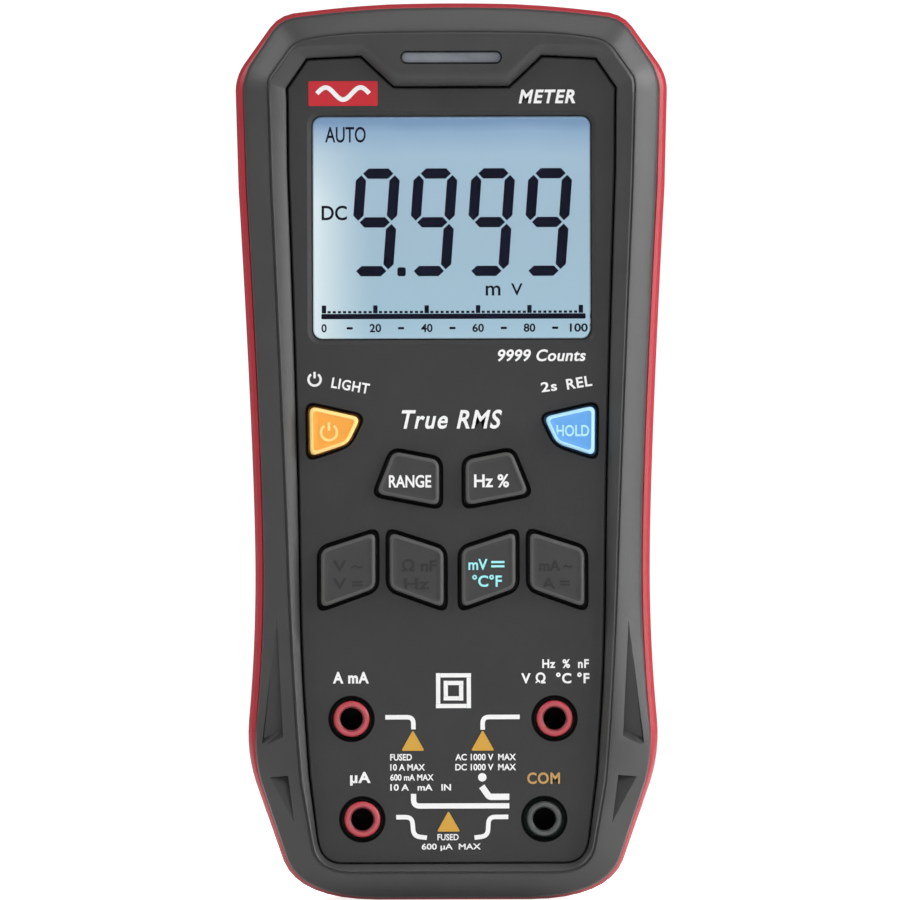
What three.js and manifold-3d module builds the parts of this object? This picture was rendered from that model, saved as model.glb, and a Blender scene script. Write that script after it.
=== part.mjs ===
// A handheld digital multimeter, worked by keys, in millimetres.
// It stands upright: +Z runs up its length, its face looks along -Y, and +X is to the right.
// The origin is in the middle of the base, halfway between the face and the back.

import * as THREE from 'three';
import { mergeVertices } from 'three/addons/utils/BufferGeometryUtils.js';
import Module from 'manifold-3d';

// Overall size.
const caseDepth = 46;
const frontY = -caseDepth / 2;
const backY = caseDepth / 2;
const clearance = 0.3;
const roundSides = 16;

// Layers from the face to the back, as Y positions.
const panelFrontY = -21;
const panelBackY = -18.6;
const bumperBackY = -15;
const seamY = -14.7;
const flangeBackY = -13;
const skirtEndY = -2;
const wallStepY = -0.4;
const cavityEndY = 17.5;
const standRecessY = 19.4;

// Walls, as distances inside the case outline.
const bumperInset = 2.2;
const bumperBevel = 2.6;
const rearWall = 2.6;
const rearRib = 4.8;
const skirtInset = 3;
const skirtWall = 1.8;
const panelGroove = 0.3;
const panelWall = 1;

// Display.
const windowWidth = 53;
const windowBottom = 106;
const windowTop = 148.5;
const windowCorner = 1.9;
const windowLedge = 0.5;

// Keys.
const keyFrontY = -22.4;
const keyBackY = -17.4;
const keyFlangeY = -18.3;
const keyFlange = 0.45;
const keyClearance = 0.35;
const keyCorner = 0.9;
const keyWellDepth = 0.8;
const keyWellMargin = 0.85;

// Input jacks, as [x, z] of each axis.
const jacks = {
  jack_current: [-19.2, 34.4],
  jack_volts_ohms: [19.2, 34.4],
  jack_microamps: [-17.2, 15.4],
  jack_common: [17.2, 15.4],
};
const jackBore = 4.1;
const jackRingOuter = 7;
const jackRecess = 8.9;
const jackRecessDepth = 1.2;
const jackRingFrontY = -21.4;
const jackSleeveOuter = 5.6;
const jackSleeveEndY = 1;
const jackCollar = 8.4;

// Circuit board.
const boardFrontY = -14.8;
const boardBackY = -13.2;
const boardTop = 150.5;
const partsFrontY = boardBackY + clearance;

// Case screws, as [x, z], and their bosses.
const screws = [[-24.5, 154.3], [24.5, 154.3], [-24, 47.5], [24, 47.5]];
const screwShank = 2.9;
const screwHead = 5.6;
const screwHole = 3.5;
const screwSeatY = 10;
const frontBoss = 5.4;
const rearBoss = 8.4;

// Tilt stand.
const hingeY = 21.3;
const hingeZ = 106;
const standHalfWidth = 28.4;
const standBottom = 12;
const standThickness = 3;
const standWindowHalf = 19;
const standWindowBottom = 19.8;
const standWindowTop = 90.4;
const recessHalfWidth = 29;
const pivotRadius = 1.2;

// Battery bay and its door.
const bayHalfWidth = 16.2;
const bayBottom = 22.4;
const bayTop = 80.4;
const bayFrontY = 3.6;
const bayWall = 1.6;
const doorHalfWidth = 18.3;
const doorBottom = 20.6;
const doorTop = 89.6;
const doorThickness = 2;
const doorScrewZ = 85.4;
const cellDiameter = 14.2;
const cellLength = 49.5;
const cellSpacing = 15;
const cellY = 11.4;
const cellBottom = 26.8;

const wasm = await Module();
wasm.setup();

// ---------------------------------------------------------------- geometry helpers

/** A closed three.js geometry as a solid that can be joined and cut. */
function solid(geometry) {
  const bare = geometry.index ? geometry.toNonIndexed() : geometry.clone();
  bare.deleteAttribute('normal');
  bare.deleteAttribute('uv');
  const merged = mergeVertices(bare, 1e-4);
  return new wasm.Manifold(new wasm.Mesh({
    numProp: 3,
    vertProperties: new Float32Array(merged.attributes.position.array),
    triVerts: new Uint32Array(merged.index.array),
  }));
}

/** A solid turned back into a three.js geometry. */
function geometryOf(body) {
  const mesh = body.getMesh();
  const geometry = new THREE.BufferGeometry();
  geometry.setAttribute('position', new THREE.BufferAttribute(mesh.vertProperties, 3));
  geometry.setIndex(new THREE.BufferAttribute(mesh.triVerts, 1));
  geometry.computeVertexNormals();
  return geometry;
}

/** Both halves of an outline, from its right half drawn from the bottom to the top. */
function mirrored(rightHalf) {
  const right = rightHalf.filter((point) => point.x > 1e-6);
  const left = right.map((point) => new THREE.Vector2(-point.x, point.y)).reverse();
  return [...right, ...left];
}

/** An anticlockwise outline moved inwards by a distance, or outwards where it is negative. */
function inset(outline, distance) {
  const count = outline.length;
  return outline.map((point, index) => {
    const before = outline[(index + count - 1) % count];
    const after = outline[(index + 1) % count];
    const arriving = point.clone().sub(before).normalize();
    const leaving = after.clone().sub(point).normalize();
    const inwards = new THREE.Vector2(-arriving.y - leaving.y, arriving.x + leaving.x);
    const sharpness = Math.max(1 + arriving.dot(leaving), 0.2);
    return point.clone().addScaledVector(inwards, distance / sharpness);
  });
}

/** A plate with an outline in the XZ plane, between two Y positions. */
function plate(outline, fromY, toY, options = {}) {
  const shape = new THREE.Shape(outline);
  const settings = { depth: toY - fromY, bevelEnabled: false, ...options };
  const geometry = new THREE.ExtrudeGeometry(shape, settings);
  return solid(geometry.rotateX(Math.PI / 2).translate(0, toY, 0));
}

/** A box between two corners. */
function box(low, high) {
  const size = high.map((value, axis) => value - low[axis]);
  const middle = high.map((value, axis) => (value + low[axis]) / 2);
  return solid(new THREE.BoxGeometry(...size).translate(...middle));
}

/** A rod along Y, round the point (x, z). */
function rod(x, z, diameter, fromY, toY, sides = roundSides) {
  const geometry = new THREE.CylinderGeometry(diameter / 2, diameter / 2, toY - fromY, sides);
  return solid(geometry.translate(x, (fromY + toY) / 2, z));
}

/** A rod along X, round the point (y, z). */
function crossRod(y, z, radius, fromX, toX) {
  const geometry = new THREE.CylinderGeometry(radius, radius, toX - fromX, roundSides);
  return solid(geometry.rotateZ(Math.PI / 2).translate((fromX + toX) / 2, y, z));
}

/** A rectangle with round corners, as an anticlockwise outline. */
function roundedRectangle(left, bottom, right, top, radius) {
  const path = new THREE.Path();
  path.absarc(right - radius, bottom + radius, radius, -Math.PI / 2, 0);
  path.absarc(right - radius, top - radius, radius, 0, Math.PI / 2);
  path.absarc(left + radius, top - radius, radius, Math.PI / 2, Math.PI);
  path.absarc(left + radius, bottom + radius, radius, Math.PI, Math.PI * 1.5);
  const points = path.getPoints(3);
  return points.filter((point, index) => index === 0 || point.distanceTo(points[index - 1]) > 1e-6);
}

/** A corner list with each corner rounded off by a short curve. */
function roundedCorners(corners, radius) {
  const path = new THREE.Path();
  corners.forEach((corner, index) => {
    const before = corners[(index + corners.length - 1) % corners.length];
    const after = corners[(index + 1) % corners.length];
    const start = corner.clone().add(before.clone().sub(corner).setLength(radius));
    const end = corner.clone().add(after.clone().sub(corner).setLength(radius));
    if (index === 0) {
      path.moveTo(start.x, start.y);
    } else {
      path.lineTo(start.x, start.y);
    }
    path.quadraticCurveTo(corner.x, corner.y, end.x, end.y);
  });
  return path.getPoints(2);
}

// ---------------------------------------------------------------- outlines, seen from the face

/** The outside of the case: a narrow base, a waist, and chamfered shoulders. */
function caseOutline() {
  const half = new THREE.Path();
  half.moveTo(0, 0);
  half.lineTo(14.5, 0);
  half.quadraticCurveTo(29.2, 0.1, 32.2, 7.4);
  half.lineTo(37.4, 22.4);
  half.quadraticCurveTo(39.2, 28, 38.7, 34);
  half.quadraticCurveTo(37.4, 48, 37.4, 62);
  half.quadraticCurveTo(37.4, 82, 40.4, 135);
  half.lineTo(40.9, 153.3);
  half.quadraticCurveTo(40.9, 156, 39.3, 158.4);
  half.lineTo(34.3, 165.4);
  half.quadraticCurveTo(32.8, 167.5, 30, 168.05);
  half.quadraticCurveTo(15, 170, 0, 170);
  return mirrored(half.getPoints(4));
}

/** The dark panel on the face, with a dip at the top for the indicator light. */
function panelOutline() {
  const half = new THREE.Path();
  half.moveTo(0, 7);
  half.lineTo(21, 7);
  half.quadraticCurveTo(25.3, 7, 25.8, 12);
  half.lineTo(27.9, 34.5);
  half.quadraticCurveTo(28.6, 44, 28.8, 57);
  half.quadraticCurveTo(29.1, 90, 30.9, 138);
  half.lineTo(31.1, 153.6);
  half.lineTo(27.3, 159.1);
  half.lineTo(17.1, 159.6);
  half.lineTo(10.9, 153.8);
  half.lineTo(0, 153.8);
  return mirrored(half.getPoints(3));
}

/** The middle section through the back and sides, which rounds the case off towards the back. */
function planSection() {
  const half = new THREE.Path();
  half.moveTo(0, seamY);
  half.lineTo(41.5, seamY);
  half.lineTo(41.5, 6);
  half.bezierCurveTo(41.5, 15, 39, backY, 33, backY);
  half.lineTo(0, backY);
  return mirrored(half.getPoints(6));
}

/** The middle section from base to top, as [depth, height], flat at the base and round at the back. */
function sideSection() {
  const path = new THREE.Path();
  path.moveTo(seamY, -1);
  path.lineTo(13, -1);
  path.lineTo(13, 0);
  path.quadraticCurveTo(backY, 0.5, backY, 9);
  path.lineTo(backY, 158);
  path.quadraticCurveTo(21, 168.5, 8, 171);
  path.lineTo(seamY, 171);
  return path.getPoints(6);
}

/** The right-hand key of each pair, as corners from bottom left, going round anticlockwise. */
const rightKeys = {
  key_hold: [[19.7, 86.4], [26.9, 84], [27, 93.6], [17.3, 91.4]],
  key_hz_percent: [[2.5, 74.7], [14.4, 77], [11.2, 85], [2.5, 83.3]],
  key_millivolt: [[1.7, 55.4], [11.9, 59.1], [11.9, 69.7], [1.7, 66.4]],
  key_current: [[14.6, 59.1], [24.9, 55.4], [24.9, 66.4], [14.6, 69.7]],
};

/** The left-hand key that mirrors each right-hand one. */
const leftKeys = {
  key_hold: 'key_power',
  key_hz_percent: 'key_range',
  key_millivolt: 'key_resistance',
  key_current: 'key_voltage',
};

/** Every key's name and its outline on the face. */
function keyOutlines() {
  const outlines = {};
  for (const [name, corners] of Object.entries(rightKeys)) {
    const right = corners.map(([x, z]) => new THREE.Vector2(x, z));
    const left = corners.map(([x, z]) => new THREE.Vector2(-x, z)).reverse();
    outlines[name] = roundedCorners(right, keyCorner);
    outlines[leftKeys[name]] = roundedCorners(left, keyCorner);
  }
  return outlines;
}

const caseEdge = caseOutline();
const panelEdge = panelOutline();
const keys = keyOutlines();

// ---------------------------------------------------------------- materials

/** A moulded or pressed material with the colour of its piece. */
function finish(colour, roughness, metalness = 0) {
  return new THREE.MeshStandardMaterial({ color: colour, roughness, metalness });
}

const redRubber = () => finish(0xc22a36, 0.55);
const greyRubber = () => finish(0x63656a, 0.6);
const darkPlastic = () => finish(0x434446, 0.55);
const blackPlastic = () => finish(0x1b1b1d, 0.5);
const clearPlastic = () => finish(0xa9cdea, 0.1);
const orangePlastic = () => finish(0xf0ad3c, 0.5);
const bluePlastic = () => finish(0x5aa6e0, 0.5);
const blackRingPlastic = () => finish(0x1c1d1d, 0.5);
const whitePlastic = () => finish(0xe9edf2, 0.5);
const boardLaminate = () => finish(0x1e6b3a, 0.5);
const steel = () => finish(0xb8bcc2, 0.35, 1);
const brass = () => finish(0xc9a24a, 0.35, 1);
const ceramic = () => finish(0xe8e4da, 0.4);

// ---------------------------------------------------------------- case

/** The tube that a case screw passes through in the rear cover. */
function rearBossTubes() {
  return screws.map(([x, z]) => rod(x, z, rearBoss, skirtEndY + clearance, backY - 1));
}

/** The holes for the case screws, wide at the back for their heads. */
function rearScrewHoles() {
  return screws.flatMap(([x, z]) => [
    rod(x, z, screwHole, skirtEndY - 1, backY),
    rod(x, z, screwHead + 0.8, screwSeatY, backY + 1),
  ]);
}

/** The outside of the rear cover, before it is hollowed. */
function rearBlank() {
  const across = 100;
  const plan = new THREE.Shape(planSection());
  const alongHeight = new THREE.ExtrudeGeometry(plan, { depth: 180, bevelEnabled: false });
  const side = new THREE.Shape(sideSection());
  const alongWidth = new THREE.ExtrudeGeometry(side, { depth: across, bevelEnabled: false });
  alongWidth.rotateX(Math.PI / 2).rotateZ(Math.PI / 2).translate(-across / 2, 0, 0);
  return plate(caseEdge, seamY, backY)
    .intersect(solid(alongHeight.translate(0, 0, -5)))
    .intersect(solid(alongWidth));
}

/** The hollow of the rear cover, which steps in behind the skirt of the front case. */
function rearCavity() {
  return plate(inset(caseEdge, rearWall), seamY - 1, wallStepY)
    .add(plate(inset(caseEdge, rearRib), wallStepY - 0.2, cavityEndY));
}

/** The pocket in the back that the stand folds into, with a scoop for a finger below it. */
function standRecess() {
  const pocket = box([-recessHalfWidth, standRecessY, 10.5], [recessHalfWidth, backY + 1, 108.4]);
  const scoop = box([-9, standRecessY, 5.5], [9, backY + 1, 11]);
  const pivotReach = recessHalfWidth + 2.2;
  const pivot = crossRod(hingeY, hingeZ, pivotRadius + clearance, -pivotReach, pivotReach);
  return pocket.add(scoop).add(pivot);
}

function rearCover() {
  const bayOuter = box(
    [-bayHalfWidth - bayWall, bayFrontY - bayWall, bayBottom - bayWall],
    [bayHalfWidth + bayWall, standRecessY, bayTop + bayWall],
  );
  const bayInner = box([-bayHalfWidth, bayFrontY, bayBottom], [bayHalfWidth, backY, bayTop]);
  const doorBoss = rod(0, doorScrewZ, 7, bayFrontY + 3, standRecessY);
  const doorHole = rod(0, doorScrewZ, 3.2, bayFrontY + 4, backY);
  let cover = rearBlank().subtract(rearCavity());
  for (const boss of rearBossTubes()) {
    cover = cover.add(boss);
  }
  cover = cover.add(bayOuter).add(doorBoss).subtract(standRecess());
  cover = cover.subtract(bayInner).subtract(doorHole);
  for (const hole of rearScrewHoles()) {
    cover = cover.subtract(hole);
  }
  return cover;
}

/** The soft bumper round the panel, bevelled towards the case edge. */
function frontBumper() {
  const outer = inset(caseEdge, bumperInset);
  const bevel = {
    bevelEnabled: true,
    bevelThickness: bumperBevel,
    bevelSize: bumperBevel,
    bevelOffset: -bumperBevel,
    bevelSegments: 1,
  };
  const blank = plate(outer, frontY + bumperBevel, bumperBackY + bumperBevel, bevel);
  const behind = box([-60, bumperBackY, -10], [60, 30, 190]);
  const middle = plate(inset(panelEdge, -panelGroove), frontY - 1, bumperBackY + 1);
  const lightSlot = box([-9.8, frontY - 1, 158.2], [9.8, bumperBackY + 1, 160.8]);
  return blank.subtract(behind).subtract(middle).subtract(lightSlot);
}

/** The shallow dark wells that each group of keys stands in. */
function keyWells() {
  return Object.values(keys).map((outline) => (
    plate(inset(outline, -keyWellMargin), panelFrontY - 1, panelFrontY + keyWellDepth)
  ));
}

/** The holes through the panel for the window, the keys and the jacks. */
function panelHoles() {
  const half = windowWidth / 2;
  const ledge = windowLedge;
  const wide = roundedRectangle(-half, windowBottom, half, windowTop, windowCorner);
  const narrow = roundedRectangle(
    -half + ledge, windowBottom + ledge, half - ledge, windowTop - ledge, windowCorner,
  );
  const holes = [
    plate(wide, panelFrontY - 1, panelBackY - 0.8),
    plate(narrow, panelFrontY - 1, panelBackY + 1),
  ];
  for (const outline of Object.values(keys)) {
    holes.push(plate(inset(outline, -keyClearance), panelFrontY - 1, panelBackY + 1));
  }
  for (const [x, z] of Object.values(jacks)) {
    holes.push(rod(x, z, jackRecess, panelFrontY - 1, panelFrontY + jackRecessDepth));
    holes.push(rod(x, z, jackRingOuter + 0.6, panelFrontY - 1, panelBackY + 1));
  }
  return holes;
}

/** The hard front case: panel, its short walls, the flange behind the bumper, and the skirt. */
function frontCase() {
  const skirtEdge = inset(caseEdge, skirtInset);
  const innerEdge = inset(panelEdge, panelGroove + panelWall);
  const panelBlock = plate(inset(panelEdge, panelGroove), panelFrontY, flangeBackY);
  const flange = plate(skirtEdge, seamY, flangeBackY);
  const skirt = plate(skirtEdge, flangeBackY - 0.2, skirtEndY)
    .subtract(plate(inset(skirtEdge, skirtWall), flangeBackY - 1, skirtEndY + 1));
  const hollow = plate(innerEdge, panelBackY, flangeBackY + 1);
  const pipeHole = box([-9.8, seamY - 1, 158], [9.8, flangeBackY + 1, 161]);
  let body = panelBlock.add(flange).subtract(hollow).add(skirt).subtract(pipeHole);
  for (const [x, z] of screws) {
    body = body.add(rod(x, z, frontBoss, panelBackY - 0.2, skirtEndY));
  }
  for (const hole of [...panelHoles(), ...keyWells()]) {
    body = body.subtract(hole);
  }
  for (const [x, z] of screws) {
    body = body.subtract(rod(x, z, screwHole, -12, skirtEndY + 1));
  }
  return body;
}

/** The soft seal between the end of the skirt and the step in the rear cover. */
function caseSeal() {
  const outer = plate(inset(caseEdge, skirtInset + 0.1), skirtEndY + clearance, wallStepY - clearance);
  return outer.subtract(plate(inset(caseEdge, rearRib), skirtEndY, wallStepY));
}

// ---------------------------------------------------------------- face pieces

function displayWindow() {
  const half = windowWidth / 2 - clearance;
  const outline = roundedRectangle(
    -half, windowBottom + clearance, half, windowTop - clearance, windowCorner,
  );
  return plate(outline, panelFrontY + 0.2, panelBackY - 0.8 - clearance);
}

/** One key: a cap that stands through the panel, with a lip behind it that keeps it in. */
function keyCap(outline) {
  const cap = plate(outline, keyFrontY, keyBackY);
  return cap.add(plate(inset(outline, -keyFlange), keyFlangeY, keyBackY));
}

/** A clear bar through the bumper, with a leg down to the light on the board. */
function lightPipe() {
  const bar = box([-9.5, frontY + 0.3, 158.5], [9.5, partsFrontY + 1.6, 160.5]);
  return bar.add(box([-4, partsFrontY, 146], [4, partsFrontY + 1.6, 160.5]));
}

/** The insulated mouth of a jack, round the origin, with its bore along Y. */
function jackRing() {
  const ring = rod(0, 0, jackRingOuter, jackRingFrontY, seamY - 0.6, 20);
  return ring.subtract(rod(0, 0, jackBore, jackRingFrontY - 1, seamY, 20));
}

/** The brass socket behind it, closed at its inner end, with a soldered collar. */
function jackSleeve() {
  const sleeve = rod(0, 0, jackSleeveOuter, seamY - clearance, jackSleeveEndY);
  const collar = rod(0, 0, jackCollar, partsFrontY, partsFrontY + 0.8);
  return sleeve.add(collar).subtract(rod(0, 0, jackBore, seamY - 1, jackSleeveEndY - 1));
}

// ---------------------------------------------------------------- inside the case

function displayFrame() {
  const outer = box([-27.8, -18.3, 100.8], [27.8, -15.1, 150.9]);
  const inner = box([-26.5, -19, 102.2], [26.5, -14, 149.9]);
  return outer.subtract(inner);
}

/** The rubber sheet under the keys, with a low pad under each one. */
function keypadSheet() {
  let sheet = box([-25.6, -15.9, 53.6], [25.6, -15.1, 94.6]);
  for (const outline of Object.values(keys)) {
    sheet = sheet.add(plate(inset(outline, 0.3), -16.1, -15.8));
  }
  const bossHoles = screws.map(([x, z]) => rod(x, z, frontBoss + 1, -17, -14));
  return bossHoles.reduce((left, hole) => left.subtract(hole), sheet);
}

/** The board follows the panel's sides, and makes room for the screw bosses and the jacks. */
function mainBoard() {
  const outline = inset(panelEdge, panelGroove + panelWall + 0.5);
  let board = plate(outline, boardFrontY, boardBackY);
  board = board.subtract(box([-60, boardFrontY - 1, boardTop], [60, boardBackY + 1, 190]));
  for (const [x, z] of screws) {
    board = board.subtract(rod(x, z, frontBoss + 1.2, boardFrontY - 1, boardBackY + 1));
  }
  for (const [x, z] of Object.values(jacks)) {
    board = board.subtract(rod(x, z, jackSleeveOuter + 0.8, boardFrontY - 1, boardBackY + 1));
  }
  return board;
}

/** A thin can over the measuring chip, open towards the board. */
function shieldCan() {
  const can = box([3, partsFrontY, 110], [22, -9.5, 134]);
  return can.subtract(box([3.5, partsFrontY - 1, 110.5], [21.5, -10, 133.5]));
}

function fuse(length, diameter, z, y) {
  return crossRod(y, z, diameter / 2, -length / 2, length / 2);
}

/** A U-shaped spring clip round one end of a fuse, closed towards the board. */
function fuseClip(x, z, y, diameter) {
  const half = diameter / 2 + clearance;
  const outer = box([x - 2, partsFrontY, z - half - 0.6], [x + 2, y + half * 0.4, z + half + 0.6]);
  return outer.subtract(box([x - 3, y - half, z - half], [x + 3, y + half, z + half]));
}

/** A thick resistance wire bent into a bridge, between two solder points on the board. */
function shuntWire() {
  const path = new THREE.CatmullRomCurve3([
    new THREE.Vector3(-7, partsFrontY, 24),
    new THREE.Vector3(-7, partsFrontY + 4, 24),
    new THREE.Vector3(-5, partsFrontY + 6, 24),
    new THREE.Vector3(5, partsFrontY + 6, 24),
    new THREE.Vector3(7, partsFrontY + 4, 24),
    new THREE.Vector3(7, partsFrontY, 24),
  ]);
  const section = new THREE.Shape(new THREE.Path().absarc(0, 0, 0.9, 0, Math.PI * 2).getPoints(2));
  return solid(new THREE.ExtrudeGeometry(section, { steps: 20, extrudePath: path, bevelEnabled: false }));
}

// ---------------------------------------------------------------- power

/** A dry cell with its nub, standing in the bay. */
function cell(x, nubUp) {
  const radius = cellDiameter / 2;
  const shoulder = cellLength - 1.2;
  const profile = [[0, 0], [radius - 0.4, 0], [radius, 0.4], [radius, shoulder - 0.8]];
  profile.push([radius - 0.6, shoulder], [2.7, shoulder], [2.7, cellLength], [0, cellLength]);
  const points = profile.map(([r, z]) => new THREE.Vector2(r, z));
  const geometry = new THREE.LatheGeometry(points, roundSides);
  geometry.rotateX(nubUp ? Math.PI / 2 : -Math.PI / 2);
  return solid(geometry.translate(x, cellY, nubUp ? cellBottom : cellBottom + cellLength));
}

/** A cone of spring wire, drawn as its outer shape, on a contact plate at one end of the bay. */
function contactSpring(x, plateZ, tipZ) {
  const up = tipZ > plateZ;
  const reach = Math.abs(tipZ - plateZ);
  const profile = [[0, -0.1], [4.2, -0.1], [4.2, 0.6], [2.6, reach], [0, reach]];
  const geometry = new THREE.LatheGeometry(profile.map(([r, z]) => new THREE.Vector2(r, z)), 16);
  geometry.rotateX(up ? Math.PI / 2 : -Math.PI / 2);
  return solid(geometry.translate(x, cellY, plateZ));
}

/** The plate that joins the two cells at the base of the bay. */
function cellLink() {
  const bottom = bayBottom + clearance;
  const link = box([-14, 5.5, bottom], [14, 17.5, bottom + 0.5]);
  return link
    .add(contactSpring(cellSpacing / 2, bottom + 0.5, cellBottom - clearance))
    .add(box([-cellSpacing / 2 - 3, 8.5, bottom], [-cellSpacing / 2 + 3, 14.5, cellBottom - clearance]));
}

/** A contact at the top of the bay, for one end of one cell. */
function topContact(x, isSpring) {
  const top = bayTop - clearance;
  const tip = cellBottom + cellLength + clearance;
  const contact = box([x - 6, 5.5, top - 0.5], [x + 6, 17.5, top]);
  if (isSpring) {
    return contact.add(contactSpring(x, top - 0.5, tip));
  }
  return contact.add(box([x - 3, 8.5, tip], [x + 3, 14.5, top]));
}

function batteryDoor() {
  const outline = roundedRectangle(-doorHalfWidth, doorBottom, doorHalfWidth, doorTop, 2);
  const fromY = standRecessY + clearance;
  const door = plate(outline, fromY, fromY + doorThickness);
  const screwHole = rod(0, doorScrewZ, 3.2, fromY - 1, backY);
  const headSeat = rod(0, doorScrewZ, screwHead + 0.8, fromY + 0.9, backY);
  const grip = box([-8, fromY + 1.2, 24], [8, backY, 25]);
  return door.subtract(screwHole).subtract(headSeat).subtract(grip);
}

/** A screw with a round head, along Y, with a cross slot in its head. */
function screw(x, z, tipY, headY, shank, head, headHeight) {
  const body = rod(x, z, shank, tipY, headY + 0.1, 12).add(rod(x, z, head, headY, headY + headHeight, 16));
  const slotY = headY + headHeight - 0.7;
  const slot = box([x - 1.5, slotY, z - 0.35], [x + 1.5, slotY + 2, z + 0.35]);
  const cross = box([x - 0.35, slotY, z - 1.5], [x + 0.35, slotY + 2, z + 1.5]);
  return body.subtract(slot).subtract(cross);
}

// ---------------------------------------------------------------- stand

/** The folding stand: a frame with a round top edge and two pivots moulded on its sides. */
function tiltStand() {
  const backFace = hingeY + standThickness / 2;
  const frontFace = hingeY - standThickness / 2;
  const outline = roundedRectangle(-standHalfWidth, standBottom, standHalfWidth, hingeZ + 4, 3);
  const blank = plate(outline, frontFace, backFace)
    .subtract(box([-60, 0, hingeZ], [60, 60, 190]));
  const barrel = crossRod(hingeY, hingeZ, standThickness / 2, -standHalfWidth, standHalfWidth);
  const pivot = crossRod(hingeY, hingeZ, pivotRadius, -standHalfWidth - 2, standHalfWidth + 2);
  const opening = plate(
    roundedRectangle(-standWindowHalf, standWindowBottom, standWindowHalf, standWindowTop, 2.5),
    frontFace - 1,
    backFace + 1,
  );
  return blank.add(barrel).add(pivot).subtract(opening);
}

// ---------------------------------------------------------------- the whole object

const multimeter = new THREE.Group();

/** Adds one named piece, in place or moved to a position. */
function place(name, body, material, position = [0, 0, 0]) {
  const mesh = new THREE.Mesh(geometryOf(body), material);
  mesh.name = name;
  mesh.position.set(...position);
  multimeter.add(mesh);
}

const keyFinishes = { key_power: orangePlastic, key_hold: bluePlastic };
const ringFinishes = { jack_common: blackRingPlastic };

place('rear_cover', rearCover(), redRubber());
place('front_bumper', frontBumper(), greyRubber());
place('front_case', frontCase(), darkPlastic());
place('case_seal', caseSeal(), blackPlastic());
place('display_window', displayWindow(), clearPlastic());
place('light_pipe', lightPipe(), clearPlastic());

for (const [name, outline] of Object.entries(keys)) {
  place(name, keyCap(outline), (keyFinishes[name] ?? darkPlastic)());
}
for (const [name, [x, z]] of Object.entries(jacks)) {
  place(`${name}_ring`, jackRing(), (ringFinishes[name] ?? redRubber)(), [x, 0, z]);
  place(`${name}_socket`, jackSleeve(), brass(), [x, 0, z]);
}

place('display_frame', displayFrame(), blackPlastic());
place('display_glass', box([-26.2, -18.2, 102.5], [26.2, -16.6, 149.6]), clearPlastic());
place('display_backlight', box([-26.2, -16.3, 106], [26.2, -15.1, 149.6]), whitePlastic());
place('display_connector', box([-22, -16.3, 103], [22, -15.1, 105.2]), blackPlastic());
place('keypad_sheet', keypadSheet(), blackPlastic());
place('main_board', mainBoard(), boardLaminate());
place('indicator_light', box([-2, partsFrontY, 142.8], [2, partsFrontY + 1.4, 145.7]), whitePlastic());
place('measuring_chip', box([7, partsFrontY, 117], [17, partsFrontY + 1.2, 127]), blackPlastic());
place('shield_can', shieldCan(), steel());
place('buzzer', rod(-13, 120, 12, partsFrontY, -9), blackPlastic());
place('fuse_current', fuse(31, 6.3, 44, -8.6), ceramic());
place('fuse_microamps', fuse(20, 5, 56, -9.4), ceramic());
for (const [side, x] of [['left', -12.6], ['right', 12.6]]) {
  place(`fuse_current_clip_${side}`, fuseClip(x, 44, -8.6, 6.3), brass());
}
for (const [side, x] of [['left', -7.6], ['right', 7.6]]) {
  place(`fuse_microamps_clip_${side}`, fuseClip(x, 56, -9.4, 5), brass());
}
place('shunt_wire', shuntWire(), steel());
place('surge_resistor', rod(11, 30, 9, partsFrontY, partsFrontY + 3.4), ceramic());

place('cell_left', cell(-cellSpacing / 2, false), steel());
place('cell_right', cell(cellSpacing / 2, true), steel());
place('cell_link', cellLink(), brass());
place('contact_negative', topContact(-cellSpacing / 2, false), brass());
place('contact_positive', topContact(cellSpacing / 2, true), brass());
place('battery_door', batteryDoor(), redRubber());
place('door_screw', screw(0, doorScrewZ, 10, standRecessY + 1.5, 2.6, screwHead, 1.4), steel());
place('tilt_stand', tiltStand(), greyRubber());

screws.forEach(([x, z], index) => {
  const body = screw(x, z, -9, screwSeatY + clearance, screwShank, screwHead, 2.2);
  place(`case_screw_${index + 1}`, body, steel());
});

export default multimeter;
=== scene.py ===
"""A handheld digital multimeter with a lit display, standing upright on a pale floor."""
import math

import bmesh
import bpy
from mathutils import Matrix, Vector


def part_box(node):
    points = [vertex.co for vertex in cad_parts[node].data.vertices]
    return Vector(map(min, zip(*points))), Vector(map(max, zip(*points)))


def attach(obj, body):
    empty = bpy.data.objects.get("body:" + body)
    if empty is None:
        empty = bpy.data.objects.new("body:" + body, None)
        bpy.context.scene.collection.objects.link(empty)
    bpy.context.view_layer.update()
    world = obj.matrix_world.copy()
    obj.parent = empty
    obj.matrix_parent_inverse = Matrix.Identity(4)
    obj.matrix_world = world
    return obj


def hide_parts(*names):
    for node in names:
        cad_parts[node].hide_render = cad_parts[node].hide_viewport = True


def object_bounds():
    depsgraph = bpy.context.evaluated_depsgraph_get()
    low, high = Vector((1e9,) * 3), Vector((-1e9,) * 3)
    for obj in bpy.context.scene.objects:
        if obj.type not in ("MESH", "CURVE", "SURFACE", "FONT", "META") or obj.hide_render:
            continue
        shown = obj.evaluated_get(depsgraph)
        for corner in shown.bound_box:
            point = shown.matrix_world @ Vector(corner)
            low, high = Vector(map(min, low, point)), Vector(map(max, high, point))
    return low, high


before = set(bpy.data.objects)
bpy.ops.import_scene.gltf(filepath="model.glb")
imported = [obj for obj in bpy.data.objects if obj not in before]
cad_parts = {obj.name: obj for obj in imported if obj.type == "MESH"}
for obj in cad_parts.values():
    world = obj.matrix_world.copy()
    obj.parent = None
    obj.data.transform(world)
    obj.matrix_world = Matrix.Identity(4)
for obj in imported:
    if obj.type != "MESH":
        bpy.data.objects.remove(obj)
cad_low, cad_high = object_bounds()

# Shapes are drawn in millimetres and scaled to metres when a piece is finished.
MM = 0.001


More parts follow.
